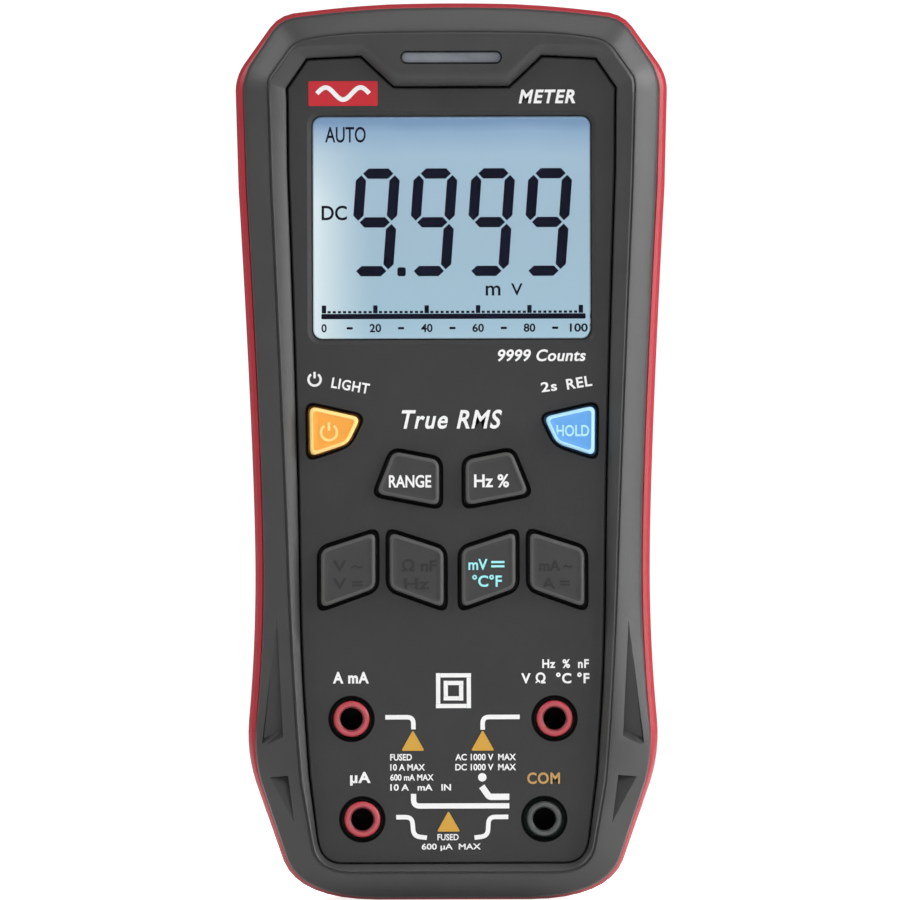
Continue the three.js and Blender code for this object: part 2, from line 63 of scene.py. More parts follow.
def millimetres(node):
    """The lowest and highest corners of a CAD node, in millimetres."""
    low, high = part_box(node)
    return Vector(low) / MM, Vector(high) / MM


CASE_LOW, CASE_HIGH = Vector(cad_low) / MM, Vector(cad_high) / MM
HALF_WIDTH = CASE_HIGH.x
HEIGHT = CASE_HIGH.z
FRONT = CASE_LOW.y
BACK = CASE_HIGH.y
PANEL_FRONT = millimetres("front_case")[0].y
KEY_FRONT = millimetres("key_range")[0].y
PRINT_THICKNESS = 0.05
CURVE_STEPS = 5
ROUND_CORNER_STEPS = 6
SHARP_ANGLE = math.radians(32)

# ------------------------------------------------------------------ outlines seen from the face

# How many steps each leg of an outline takes. All outlines share them, so that rings match.
STEPS = (5, 8, 6, 6, 8, 14, 6, 5, 6, 3, 5, 4, 5)


def curve(begin, control, end, chosen, steps):
    """The chosen points of a curve that leans towards a control point, counted in even steps."""
    points = []
    for step in chosen:
        t = step / steps
        points.append(begin * (1 - t) ** 2 + control * 2 * t * (1 - t) + end * t * t)
    return points


def outline(start, *legs):
    """A closed outline, mirrored left to right, from its right half drawn upwards.

    A leg is an end point, or a control point and an end point for a curved leg.
    """
    half = [Vector(start)]
    for steps, leg in zip(STEPS, legs):
        begin = half[-1]
        end = Vector(leg[-2:])
        control = Vector(leg[:2]) if len(leg) == 4 else (begin + end) / 2
        half += curve(begin, control, end, range(1, steps + 1), steps)
    left = [Vector((-point.x, point.y)) for point in reversed(half[1:-1])]
    return half + left


SHARPEST_MITRE = 0.2


def inset(points, distance):
    """An anticlockwise outline moved inwards, or outwards for a negative distance."""
    moved = []
    for index, point in enumerate(points):
        arriving = (point - points[index - 1]).normalized()
        leaving = (points[(index + 1) % len(points)] - point).normalized()
        inwards = Vector((-arriving.y - leaving.y, arriving.x + leaving.x))
        moved.append(point + inwards * distance / max(1 + arriving.dot(leaving), SHARPEST_MITRE))
    return moved


def mix(first, second, share):
    """An outline part of the way from one outline to another that matches it."""
    return [a.lerp(b, share) for a, b in zip(first, second)]


SHELL = outline(
    (0, 0), (14.5, 0), (29.2, 0.1, 32.2, 7.4), (37.4, 22.4), (39.2, 28, 38.7, 34), (37.4, 48, 37.4, 62),
    (37.4, 82, 40.4, 135), (HALF_WIDTH, 153.3), (HALF_WIDTH, 156, 39.3, 158.4), (34.3, 165.4),
    (32.8, 167.5, 30, 168.05), (23, 168.95, 17, 169.4), (12, 169.7), (6, HEIGHT, 0, HEIGHT))
RIM = outline(
    (0, 0.75), (14.3, 0.75), (28.4, 1, 31.2, 7.8), (36.2, 22.6), (37.6, 28, 36.9, 34), (35.5, 48, 35.5, 62),
    (35.5, 82, 38.5, 135), (39.1, 152.8), (39.2, 155.4, 37.9, 158), (33.5, 164.6),
    (32.2, 166.4, 29.6, 166.9), (23, 167.8, 17, 168.2), (12, 168.5), (6, 168.7, 0, 168.7))
RIDGE = outline(
    (0, 5), (19.5, 5), (26.3, 5.2, 27.1, 10.5), (29.1, 22.4), (29.6, 28, 30, 34), (30.9, 48, 31.4, 62),
    (32.1, 84, 34.4, 135), (34.9, 152.5), (35.1, 154.9, 34.5, 156), (30.8, 161.2),
    (29.8, 162.5, 27.8, 163.1), (23, 164.1, 17, 164.3), (12, 164.4), (6, 164.5, 0, 164.5))
SLOPE = outline(
    (0, 5.8), (20, 5.8), (25.7, 5.9, 26.4, 11), (28.4, 22.6), (28.9, 28, 29.3, 34), (30.2, 48, 30.7, 62),
    (31.4, 84, 33.7, 135), (34.2, 152), (34, 154.9), (29.8, 160.9), (28.2, 161.5), (16.6, 161.8),
    (10.2, 155.7), (0, 155.7))
PANEL = outline(
    (0, 7), (21, 7), (25.3, 7, 25.8, 12), (27.2, 24), (27.9, 34.5), (28.6, 44, 28.8, 57),
    (29.1, 90, 30.9, 138), (31, 151.5), (31.1, 153.6), (27.3, 159.1), (24, 159.3), (17.1, 159.6),
    (10.9, 153.8), (0, 153.8))
BACK_EDGE = outline(
    (0, 8.5), (18, 8.5), (27, 9, 29, 14), (32, 24), (32.9, 28, 32.7, 34), (31.6, 48, 31.6, 62),
    (31.6, 82, 33.4, 135), (33.6, 150), (33.6, 153, 32.6, 155), (29.6, 158.6),
    (28.6, 160, 26, 160.2), (17, 160.6), (12, 160.8), (6, 161, 0, 161))


def rounded_rectangle(left, bottom, right, top, radius):
    """An anticlockwise rectangle with round corners."""
    corners = ((right, bottom, -90), (right, top, 0), (left, top, 90), (left, bottom, 180))
    points = []
    for x, z, first_angle in corners:
        centre = Vector((x - math.copysign(radius, x - (left + right) / 2),
                         z - math.copysign(radius, z - (bottom + top) / 2)))
        for step in range(ROUND_CORNER_STEPS + 1):
            angle = math.radians(first_angle + 90 * step / ROUND_CORNER_STEPS)
            points.append(centre + Vector((math.cos(angle), math.sin(angle))) * radius)
    return points


def rounded_corners(corners, radius):
    """An anticlockwise outline whose corners are rounded by short curves."""
    points = []
    corners = [Vector(corner) for corner in corners]
    for index, corner in enumerate(corners):
        before = corners[index - 1] - corner
        after = corners[(index + 1) % len(corners)] - corner
        begin = corner + before.normalized() * min(radius, before.length / 2.1)
        end = corner + after.normalized() * min(radius, after.length / 2.1)
        points += curve(begin, corner, end, range(CURVE_STEPS + 1), CURVE_STEPS)
    return points


def circle(x, z, radius, steps=48):
    """An anticlockwise circle."""
    turns = [2 * math.pi * step / steps for step in range(steps)]
    return [Vector((x + radius * math.cos(turn), z + radius * math.sin(turn))) for turn in turns]


# ------------------------------------------------------------------ solids

def skin(rings, closed=False):
    """A skin through matching rings of points, with its ends filled or joined.

    Each ring comes with the number of the finish on the band that leads to it.
    """
    bm = bmesh.new()
    station = bm.verts.layers.int.new("station")
    points, _ = rings[0]
    vertices = [bm.verts.new(point) for point in points]
    for index, vertex in enumerate(vertices):
        vertex[station] = index
    edges = [bm.edges.new((vertex, vertices[(index + 1) % len(vertices)]))
             for index, vertex in enumerate(vertices)]
    first = edges
    for points, finish in rings[1:]:
        made = bmesh.ops.extrude_edge_only(bm, edges=edges)["geom"]
        fresh = {item for item in made if isinstance(item, bmesh.types.BMVert)}
        edges = [item for item in made
                 if isinstance(item, bmesh.types.BMEdge) and fresh.issuperset(item.verts)]
        for vertex in fresh:
            vertex.co = points[vertex[station]]
        for face in (item for item in made if isinstance(item, bmesh.types.BMFace)):
            face.material_index = finish
    if closed:
        bmesh.ops.bridge_loops(bm, edges=first + edges)
    else:
        bmesh.ops.contextual_create(bm, geom=first)
        bmesh.ops.contextual_create(bm, geom=edges)
    bm.verts.layers.int.remove(station)
    bmesh.ops.recalc_face_normals(bm, faces=bm.faces)
    bmesh.ops.triangulate(bm, faces=[face for face in bm.faces if len(face.verts) > 4])
    return bm


def loft(rings, closed=False):
    """A skin through matching outlines, each with its depth and, where it isn't 0, its finish."""
    stations = []
    for points, y, *finish in rings:
        stations.append(([(point.x, y, point.y) for point in points], finish[0] if finish else 0))
    return skin(stations, closed)


def prism(points, from_y, to_y):
    """A straight-sided block with an outline seen from the face."""
    return loft([(points, from_y), (points, to_y)])


def box(low, high):
    """A plain block between two corners, used for cutting and joining."""
    bm = bmesh.new()
    bmesh.ops.create_cube(bm, size=1)
    size = Vector(high) - Vector(low)
    bmesh.ops.scale(bm, verts=bm.verts, vec=size)
    bmesh.ops.translate(bm, verts=bm.verts, vec=(Vector(low) + Vector(high)) / 2)
    return bm


def spun(profile, x, z, steps=64):
    """A turned piece round an axis along Y; the profile holds radius and depth, and is closed."""
    bm = bmesh.new()
    vertices = [bm.verts.new((radius, y, 0)) for radius, y in profile]
    edges = [bm.edges.new((vertex, vertices[(index + 1) % len(vertices)]))
             for index, vertex in enumerate(vertices)]
    bmesh.ops.spin(bm, geom=vertices + edges, cent=(0, 0, 0), axis=(0, 1, 0),
                   angle=2 * math.pi, steps=steps, use_merge=True)
    bmesh.ops.remove_doubles(bm, verts=bm.verts, dist=0.0005)
    bmesh.ops.translate(bm, verts=bm.verts, vec=(x, 0, z))
    bmesh.ops.recalc_face_normals(bm, faces=bm.faces)
    return bm


def placed(name, data):
    """A new object in the scene that shows a mesh, a curve, a light or a camera."""
    thing = bpy.data.objects.new(name, data)
    bpy.context.scene.collection.objects.link(thing)
    return thing


def mesh_of(name, bm):
    """A mesh made from a shape, which is used up."""
    mesh = bpy.data.meshes.new(name)
    bm.to_mesh(mesh)
    bm.free()
    return mesh


def combined(bm, tools, operation="DIFFERENCE"):
    """A solid with other solids cut out of it or joined to it."""
    base = placed("tool", mesh_of("tool", bm))
    others = [placed("tool", mesh_of("tool", tool)) for tool in tools]
    for other in others:
        cut = base.modifiers.new("cut", "BOOLEAN")
        cut.object = other
        cut.operation = operation
        cut.solver = "EXACT"
    shape = base.evaluated_get(bpy.context.evaluated_depsgraph_get())
    result = bmesh.new()
    result.from_mesh(shape.to_mesh())
    for thing in [base, *others]:
        mesh = thing.data
        bpy.data.objects.remove(thing)
        bpy.data.meshes.remove(mesh)
    return result


def piece(name, bm, material, body, stands_for=(), rounding=0.0):
    """Finishes a solid as a piece of the object, in metres, riding on a body."""
    mesh = mesh_of(name, bm)
    mesh.transform(Matrix.Scale(MM, 4))
    thing = placed(name, mesh)
    for layer in material if isinstance(material, (list, tuple)) else [material]:
        mesh.materials.append(layer)
    mesh.polygons.foreach_set("use_smooth", [True] * len(mesh.polygons))
    mesh.set_sharp_from_angle(angle=SHARP_ANGLE)
    if rounding:
        bevel = thing.modifiers.new("rounded edges", "BEVEL")
        bevel.width = rounding * MM
        bevel.segments = 2
        bevel.limit_method = "ANGLE"
        bevel.angle_limit = SHARP_ANGLE
        bevel.harden_normals = True
    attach(thing, body)
    if stands_for:
        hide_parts(*stands_for)
    return thing


# ------------------------------------------------------------------ materials

def plain_material(name, colour, roughness, metallic=0.0, specular=0.5):
    """A new material with its main numbers set on the shader itself."""
    material = bpy.data.materials.new(name)
    material.use_nodes = True
    shader = material.node_tree.nodes["Principled BSDF"]
    shader.inputs["Base Color"].default_value = (*colour, 1)
    shader.inputs["Roughness"].default_value = roughness
    shader.inputs["Metallic"].default_value = metallic
    shader.inputs["Specular IOR Level"].default_value = specular
    return material


def add(material, kind, **inputs):
    """A node in a material or the world, with some of its inputs set."""
    node = material.node_tree.nodes.new(kind)
    for name, value in inputs.items():
        node.inputs[name.replace("_", " ")].default_value = value
    return node


def wire(material, source, output, target, socket):
    """A link from one node's output to another node's input."""
    material.node_tree.links.new(source.outputs[output], target.inputs[socket])


MOTTLE_SCALE = 120
GLOSS_SPREAD = 0.06


def textured(material, grain, depth, mottle=0.08):
    """Adds a moulded texture: a fine grain in relief, and slow changes of shade and gloss."""
    shader = material.node_tree.nodes["Principled BSDF"]
    place = add(material, "ShaderNodeTexCoord")
    fine = add(material, "ShaderNodeTexNoise", Scale=grain, Detail=3.0, Roughness=0.6)
    slow = add(material, "ShaderNodeTexNoise", Scale=MOTTLE_SCALE, Detail=4.0, Roughness=0.55)
    bump = add(material, "ShaderNodeBump", Strength=1.0, Distance=depth)
    wire(material, place, "Object", fine, "Vector")
    wire(material, place, "Object", slow, "Vector")
    wire(material, fine, "Fac", bump, "Height")
    wire(material, bump, "Normal", shader, "Normal")
    shade = add(material, "ShaderNodeValToRGB")
    colour = Vector(shader.inputs["Base Color"].default_value[:3])
    for element, position, factor in zip(shade.color_ramp.elements, (0.3, 0.7), (1 - mottle, 1 + mottle)):
        element.position = position
        element.color = (*(colour * factor), 1)
    wire(material, slow, "Fac", shade, "Fac")
    wire(material, shade, "Color", shader, "Base Color")
    gloss = add(material, "ShaderNodeMapRange")
    middle = shader.inputs["Roughness"].default_value
    gloss.inputs["To Min"].default_value = middle - GLOSS_SPREAD
    gloss.inputs["To Max"].default_value = middle + GLOSS_SPREAD
    wire(material, slow, "Fac", gloss, "Value")
    wire(material, gloss, "Result", shader, "Roughness")
    return material


GLOW_REACH = 12
GLOW_TOP_FADE = (1, 16)
GLOW_FALLOFF = 1.6
DISPLAY_CLOUD = 0.05
DISPLAY_BRIGHTNESS = 0.87
DISPLAY_SHADES = (
    (0.0, (0.46, 0.66, 0.78)), (0.1, (0.41, 0.60, 0.72)), (0.55, (0.40, 0.57, 0.69)),
    (0.86, (0.41, 0.58, 0.72)), (0.955, (0.32, 0.48, 0.67)), (1.0, (0.22, 0.36, 0.55)))


def display_glow(low, high):
    """The lit display: deeper blue along its top, with a pale glow up its left edge."""
    material = plain_material("lit_display", (0.02, 0.03, 0.04), 0.5, specular=0.0)
    shader = material.node_tree.nodes["Principled BSDF"]
    place = add(material, "ShaderNodeTexCoord")
    split = add(material, "ShaderNodeSeparateXYZ")
    height = add(material, "ShaderNodeMapRange", From_Min=low.z * MM, From_Max=high.z * MM)
    side = add(material, "ShaderNodeMapRange", From_Min=low.x * MM, From_Max=(low.x + GLOW_REACH) * MM,
               To_Min=1.0, To_Max=0.0)
    fade_from, fade_to = [(high.z - distance) * MM for distance in GLOW_TOP_FADE]
    ends = add(material, "ShaderNodeMapRange", From_Min=fade_from, From_Max=fade_to)
    cloud = add(material, "ShaderNodeTexNoise", Scale=70.0, Detail=2.0)
    blend = add(material, "ShaderNodeMath")
    blend.operation = "MULTIPLY_ADD"
    blend.inputs[1].default_value = DISPLAY_CLOUD
    edge = add(material, "ShaderNodeMath")
    edge.operation = "MULTIPLY"
    sharpened = add(material, "ShaderNodeMath")
    sharpened.operation = "POWER"
    sharpened.inputs[1].default_value = GLOW_FALLOFF
    ramp = add(material, "ShaderNodeValToRGB")
    for index, (position, colour) in enumerate(DISPLAY_SHADES):
        elements = ramp.color_ramp.elements
        element = elements[index] if index < 2 else elements.new(position)
        element.position = position
        element.color = (*colour, 1)
    glow = add(material, "ShaderNodeMixRGB", Color2=(0.84, 0.97, 1.0, 1))
    wire(material, place, "Object", split, "Vector")
    wire(material, split, "Z", height, "Value")
    wire(material, split, "Z", ends, "Value")
    wire(material, split, "X", side, "Value")
    wire(material, place, "Object", cloud, "Vector")
    wire(material, cloud, "Fac", blend, 0)
    wire(material, height, "Result", blend, 2)
    wire(material, blend, "Value", ramp, "Fac")
    wire(material, side, "Result", sharpened, 0)
    wire(material, sharpened, "Value", edge, 0)
    wire(material, ends, "Result", edge, 1)
    wire(material, edge, "Value", glow, "Fac")
    wire(material, ramp, "Color", glow, "Color1")
    wire(material, glow, "Color", shader, "Emission Color")
    shader.inputs["Emission Strength"].default_value = DISPLAY_BRIGHTNESS
    return material


def clear_acrylic():
    """Polished clear window plastic."""
    material = plain_material("clear_acrylic", (1, 1, 1), 0.02)
    shader = material.node_tree.nodes["Principled BSDF"]
    shader.inputs["Transmission Weight"].default_value = 1.0
    shader.inputs["IOR"].default_value = 1.25
    return material


def key_rubber(name, colour, roughness=0.55):
    """The soft plastic of a key, or the paler colour painted on a key's rounded edge as a highlight."""
    return textured(plain_material(name, colour, roughness, specular=0.35), 5200, 0.00002, mottle=0.05)


RED = textured(
    plain_material("red_rubber", (0.34, 0.012, 0.022), 0.42, specular=0.4), 5200, 0.00003, mottle=0.03)
GREY = textured(plain_material("grey_rubber", (0.032, 0.033, 0.032), 0.45, specular=0.45), 4200, 0.00004)
PANEL_PLASTIC = textured(
    plain_material("panel_plastic", (0.030, 0.030, 0.031), 0.62, specular=0.3), 6000, 0.00003)
# Near black painted into the gaps round the keys, the wells round the jacks and the jack bores, as the shade
# that falls there.
PAINTED_WELL_SHADE = textured(plain_material("painted_well_shade", (0.003, 0.003, 0.003), 0.7, specular=0.1), 5000, 0.00002)
KEY_GREY = key_rubber("key_grey", (0.036, 0.036, 0.036))
# Paler key colours, painted on the keys' rounded edges as a highlight; the orange and blue ones are also the
# ink of the power and HOLD legends.
KEY_GREY_PAINTED_HIGHLIGHT = key_rubber("key_grey_painted_highlight", (0.07, 0.07, 0.068))
KEY_ORANGE = key_rubber("key_orange", (0.86, 0.36, 0.05), 0.4)
KEY_ORANGE_HIGHLIGHT_AND_INK = key_rubber("key_orange_highlight_and_ink", (0.95, 0.66, 0.22), 0.4)
KEY_BLUE = key_rubber("key_blue", (0.12, 0.36, 0.76), 0.4)
KEY_BLUE_HIGHLIGHT_AND_INK = key_rubber("key_blue_highlight_and_ink", (0.42, 0.74, 0.95), 0.4)
INK_WHITE = plain_material("ink_white", (0.78, 0.78, 0.78), 0.6, specular=0.2)
INK_ORANGE = plain_material("ink_orange", (0.55, 0.30, 0.03), 0.5)
INK_GOLD = plain_material("ink_gold", (0.46, 0.27, 0.08), 0.5)
INK_TEAL = plain_material("ink_teal", (0.30, 0.75, 0.78), 0.5)
INK_FAINT = plain_material("ink_faint", (0.012, 0.012, 0.012), 0.6)
INK_RED = plain_material("ink_red", (0.48, 0.01, 0.02), 0.4)
INK_DISPLAY = plain_material("ink_display", (0.010, 0.011, 0.028), 0.6, specular=0.0)
RING_RED = plain_material("ring_red", (0.40, 0.03, 0.045), 0.35)
# The pink and grey ring colours paint a highlight along each jack ring's crest; the dark red one paints
# shade on a red ring's inner slope.
RING_PINK_PAINTED_HIGHLIGHT = plain_material("ring_pink_painted_highlight", (0.42, 0.055, 0.07), 0.35)
RING_RED_PAINTED_SHADE = plain_material("ring_red_painted_shade", (0.17, 0.012, 0.018), 0.4)
RING_GREY_PAINTED_HIGHLIGHT = plain_material("ring_grey_painted_highlight", (0.065, 0.068, 0.068), 0.35)
RING_BLACK = plain_material("ring_black", (0.016, 0.018, 0.018), 0.4)
CLEAR = clear_acrylic()

# ------------------------------------------------------------------ case

SEAM = millimetres("rear_cover")[0].y
STAND_LOW, STAND_HIGH = millimetres("tilt_stand")
RECESS_FLOOR = STAND_LOW.y - 0.4
BUMPER_BACK = millimetres("front_bumper")[1].y
PIPE_LOW, PIPE_HIGH = millimetres("light_pipe")
SHELL_WALL = 2.6
SHELL_RIB = 4.8
SKIRT_END = -2
CASE_SCREW_HOLE = 1.75
DOOR_SCREW_HOLE = 1.6
SCREW_HEAD_HOLE = 3.2
STAND_SLANT = 7
SCOOP_HALF = 9
SCOOP_BOTTOM = 5.6
BAY_LOW = Vector((-16.2, 3.6, 22.4))
BAY_HIGH = Vector((16.2, BACK + 1, 80.4))
BAY_WALL = 1.6


def axis_of(node):
    """Where the middle of a node is when seen from the face, as (x, z)."""
    low, high = millimetres(node)
    return (low.x + high.x) / 2, (low.z + high.z) / 2


SCREW_PLACES = [axis_of(f"case_screw_{number}") for number in range(1, 5)]
DOOR_SCREW_X, DOOR_SCREW_Z = 0, axis_of("door_screw")[1]


def shell_skin():
    """The red shell's outer and inner skin, open towards the face."""
    wall = ((SHELL_RIB, 17.5), (SHELL_RIB, -0.4), (SHELL_WALL, -0.4), (SHELL_WALL, SEAM), (2.5, SEAM - 0.5),
            (2.1, SEAM - 0.9), (1.4, SEAM - 1.1), (0.7, SEAM - 0.6), (0.25, SEAM + 0.6), (0.03, SEAM + 2.4))
    round_over = ((0.08, 11), (0.22, 15), (0.42, 18.4), (0.66, 20.9), (0.88, 22.4), (0.97, BACK - 0.08))
    rings = [(inset(SHELL, distance), y) for distance, y in wall]
    rings += [(SHELL, -9), (SHELL, 3), (inset(SHELL, 0.15), 7)]
    rings += [(mix(SHELL, BACK_EDGE, share), y) for share, y in round_over]
    return loft(rings + [(BACK_EDGE, BACK), (inset(BACK_EDGE, 0.6), BACK)])


def stand_outline(half, bottom, top, radius):
    """A rectangle whose two lower corners are cut off at a slant."""
    inner, corner_top = half - STAND_SLANT, bottom + STAND_SLANT
    corners = [(-inner, bottom), (inner, bottom), (half, corner_top),
               (half, top), (-half, top), (-half, corner_top)]
    return rounded_corners(corners, radius)


def stand_pocket():
    """Cutters for the pocket that the stand folds into, its pivots and the finger scoop below it."""
    half = STAND_HIGH.x - 1.4
    edge = stand_outline(half, STAND_LOW.z - 1.5, STAND_HIGH.z + 0.9, 1.2)
    pocket = prism(edge, RECESS_FLOOR, BACK + 2)
    scoop_edge = rounded_rectangle(-SCOOP_HALF, SCOOP_BOTTOM, SCOOP_HALF, STAND_LOW.z + 1, 2.5)
    scoop = prism(scoop_edge, RECESS_FLOOR, BACK + 2)
    pivots = box((-half - 2.2, 19.8, STAND_HIGH.z - 3), (half + 2.2, 22.8, STAND_HIGH.z))
    return [pocket, scoop, pivots]


def make_shell():
    """The red shell, with the battery bay, the tubes for its screws and the stand's pocket."""
    wall = Vector((BAY_WALL, BAY_WALL, BAY_WALL))
    door_screw = circle(DOOR_SCREW_X, DOOR_SCREW_Z, DOOR_SCREW_HOLE)
    joined = [box(BAY_LOW - wall, (BAY_HIGH.x + BAY_WALL, RECESS_FLOOR, BAY_HIGH.z + BAY_WALL)),
              prism(circle(DOOR_SCREW_X, DOOR_SCREW_Z, 3.5), BAY_LOW.y + 3, RECESS_FLOOR)]
    joined += [prism(circle(x, z, 4.2), SKIRT_END + 0.3, RECESS_FLOOR) for x, z in SCREW_PLACES]
    cut = stand_pocket() + [box(BAY_LOW, BAY_HIGH), prism(door_screw, BAY_LOW.y + 4, BACK)]
    for x, z in SCREW_PLACES:
        cut.append(prism(circle(x, z, CASE_SCREW_HOLE), SKIRT_END - 1, BACK))
        cut.append(prism(circle(x, z, SCREW_HEAD_HOLE), 10, BACK + 2))
    body = combined(combined(shell_skin(), joined, "UNION"), cut)
    return piece("shell_red", body, RED, "case", ("rear_cover",))


UPPER_FLUTE = (
    (33.3, FRONT - 1, 54.5), (33.3, -21, 54.5), (32.3, FRONT - 1, 31.6), (32.3, -18.6, 32.2),
    (35.8, -18.6, 30.8), (36.5, -19.9, 28.6), (36.5, FRONT - 1, 28.6), (32.1, -21.9, 30.9))
LOWER_FLUTE = (
    (30, FRONT - 1, 14.3), (30, -21.3, 14.3), (31.2, FRONT - 1, 23.8), (31.2, -19.2, 23.6),
    (35, FRONT - 1, 23.4), (35, -19.7, 23.4))


def bumper_flutes():
    """Wedges cut from the lower corners of the bumper, above and below its grip."""
    flutes = []
    for side in (-1, 1):
        for corners in (UPPER_FLUTE, LOWER_FLUTE):
            bm = bmesh.new()
            for x, y, z in corners:
                bm.verts.new((side * x, y, z))
            bmesh.ops.convex_hull(bm, input=bm.verts)
            flutes.append(bm)
    return flutes


CHANGE_FROM = 8
CHANGE_OVER = 12


def by_height(low, high):
    """One outline near the base, and another from a little above it."""
    blended = []
    for a, b in zip(low, high):
        share = min(max((a.y - CHANGE_FROM) / CHANGE_OVER, 0), 1)
        blended.append(a.lerp(b, share))
    return blended


def make_bumper():
    """The grey bumper: an outer slope, a fine crease along its ridge, and an inner slope to the panel."""
    groove = by_height(inset(PANEL, -0.03), inset(PANEL, -0.2))
    crease = by_height(inset(RIDGE, 0.4), inset(RIDGE, 0.26))
    skin_rings = [
        (inset(RIM, -0.3), BUMPER_BACK), (inset(RIM, -0.25), -17.4), (inset(RIM, -0.1), -18.1),
        (RIM, -18.6), (mix(RIM, RIDGE, 0.1), -19.1), (mix(RIM, RIDGE, 0.9), -22.5), (RIDGE, FRONT + 0.3),
        (crease, FRONT + 0.46), (inset(RIDGE, 0.56), FRONT + 0.16), (mix(RIDGE, SLOPE, 0.85), FRONT + 0.08),
        (SLOPE, FRONT + 0.15), (mix(SLOPE, groove, 0.12), FRONT + 0.28),
        (mix(SLOPE, groove, 0.88), FRONT + 1.45), (inset(groove, -0.14), FRONT + 1.62),
        (inset(groove, -0.02), FRONT + 1.85), (groove, FRONT + 2.2), (groove, BUMPER_BACK)]
    slot = rounded_rectangle(-9.6, PIPE_HIGH.z - 2.35, 9.6, PIPE_HIGH.z + 0.15, 1.2)
    cutters = [prism(slot, FRONT - 1, BUMPER_BACK + 1), *bumper_flutes()]
    body = combined(loft(skin_rings, closed=True), cutters)
    return piece("bumper", body, GREY, "case", ("front_bumper",))


# ------------------------------------------------------------------ panel, display and indicator

WINDOW_LOW, WINDOW_HIGH = millimetres("display_window")
WINDOW_GAP = 0.3
KEY_NODES = [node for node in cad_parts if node.startswith("key_")]
FLANGE_BACK = -18
JACK_HOLE = 3.85
JACK_WELL = 4.4
KEY_GAP = 0.35
KEY_WELL = 0.8

KEY_SHAPES = {
    "key_hold": ((19.7, 86.4), (26.9, 84), (27, 93.6), (17.3, 91.4)),
    "key_hz_percent": ((2.5, 74.7), (14.4, 77), (11.2, 85), (2.5, 83.3)),
    "key_millivolt": ((1.7, 55.4), (11.9, 59.1), (11.9, 69.7), (1.7, 66.4)),
    "key_current": ((14.6, 59.1), (24.9, 55.4), (24.9, 66.4), (14.6, 69.7)),
}
MIRROR_KEYS = {"key_power": "key_hold", "key_range": "key_hz_percent",
               "key_resistance": "key_millivolt", "key_voltage": "key_current"}
KEY_CORNER = 1.5


def key_outline(node, distance):
    """The rounded outline of a key, seen from the face, moved inwards by a distance."""
    if node in KEY_SHAPES:
        corners = KEY_SHAPES[node]
    else:
        corners = [(-x, z) for x, z in reversed(KEY_SHAPES[MIRROR_KEYS[node]])]
    corners = inset([Vector(corner) for corner in corners], distance)
    return rounded_corners(corners, max(KEY_CORNER - distance * 0.9, 0.3))


JACKS = {name: axis_of(f"jack_{name}_ring") for name in ("current", "volts_ohms", "microamps", "common")}


def window_outline(distance, radius):
    """The window's outline, moved inwards by a distance."""
    x, z0, z1 = WINDOW_HIGH.x - distance, WINDOW_LOW.z + distance, WINDOW_HIGH.z - distance
    return rounded_rectangle(-x, z0, x, z1, radius)


def panel_cutters():
    """Everything cut through or into the panel."""
    above = PANEL_FRONT - 1
    opening = window_outline(-WINDOW_GAP, 1.9)
    flared = window_outline(-WINDOW_GAP - 1.3, 3)
    cutters = [loft([(flared, PANEL_FRONT - 0.5), (opening, PANEL_FRONT + 0.8)]),
               prism(opening, above, -19.4),
               prism(window_outline(0.5 - WINDOW_GAP, 1.5), above, FLANGE_BACK)]
    cutters += [prism(key_outline(node, -KEY_GAP), above, FLANGE_BACK) for node in KEY_NODES]
    cutters += [prism(circle(x, z, JACK_HOLE), above, FLANGE_BACK) for x, z in JACKS.values()]
    cutters += [prism(key_outline(node, -KEY_WELL), above, PANEL_FRONT + 0.8) for node in KEY_NODES]
    return cutters


# Openings below this height get the painted shade on their set-back faces.
SHADED_WELLS_TOP = 100


def make_panel():
    """The front case: the panel, its flange behind the bumper, and the skirt inside the shell."""
    skirt = inset(SHELL, 3.0)
    inner_skirt = inset(skirt, 1.8)
    walls = loft([
        (inset(PANEL, 1.3), -18.6), (inset(PANEL, 1.3), -13), (inner_skirt, -13), (inner_skirt, SKIRT_END),
        (skirt, SKIRT_END), (skirt, -14.6), (inset(PANEL, 0.12), -14.6), (inset(PANEL, 0.1), -20.6),
        (inset(PANEL, 0.2), -20.85), (inset(PANEL, 0.38), PANEL_FRONT), (inset(PANEL, 0.8), PANEL_FRONT)])
    bosses = [prism(circle(x, z, 2.7), -18.7, SKIRT_END) for x, z in SCREW_PLACES]
    holes = [prism(circle(x, z, CASE_SCREW_HOLE), -12, 0) for x, z in SCREW_PLACES]
    holes.append(box((-9.8, -15.5, PIPE_HIGH.z - 2.6), (9.8, -12, PIPE_HIGH.z + 0.4)))
    holes += [prism(circle(x, z, JACK_WELL), PANEL_FRONT - 1, PANEL_FRONT + 1.2) for x, z in JACKS.values()]
    body = combined(combined(walls, bosses, "UNION"), panel_cutters() + holes)
    finishes = [PANEL_PLASTIC, PAINTED_WELL_SHADE]
    thing = piece("panel", body, finishes, "case", ("front_case",), rounding=0.14)
    # Faces set back in the openings below the display take the painted shade.
    for face in thing.data.polygons:
        x, y, z = face.center / MM
        inside_edge = abs(x) < outline_half_width(z) - 1.2
        if inside_edge and PANEL_FRONT + 0.3 < y < FLANGE_BACK and z <= SHADED_WELLS_TOP:
            face.material_index = 1
    return thing


def outline_half_width(z):
    """How far the panel reaches to each side at a height."""
    return max((point.x for point in PANEL if abs(point.y - z) < 6), default=0)


def make_window():
    """The clear window, with softly rounded front edges."""
    front = WINDOW_LOW.y + 0.45
    edges = ((0, WINDOW_HIGH.y), (0, front + 0.25), (0.1, front + 0.07), (0.3, front), (0.5, front))
    rings = [(window_outline(distance, 1.7 - distance), y) for distance, y in edges]
    return piece("window", loft(rings), CLEAR, "case", ("display_window",))


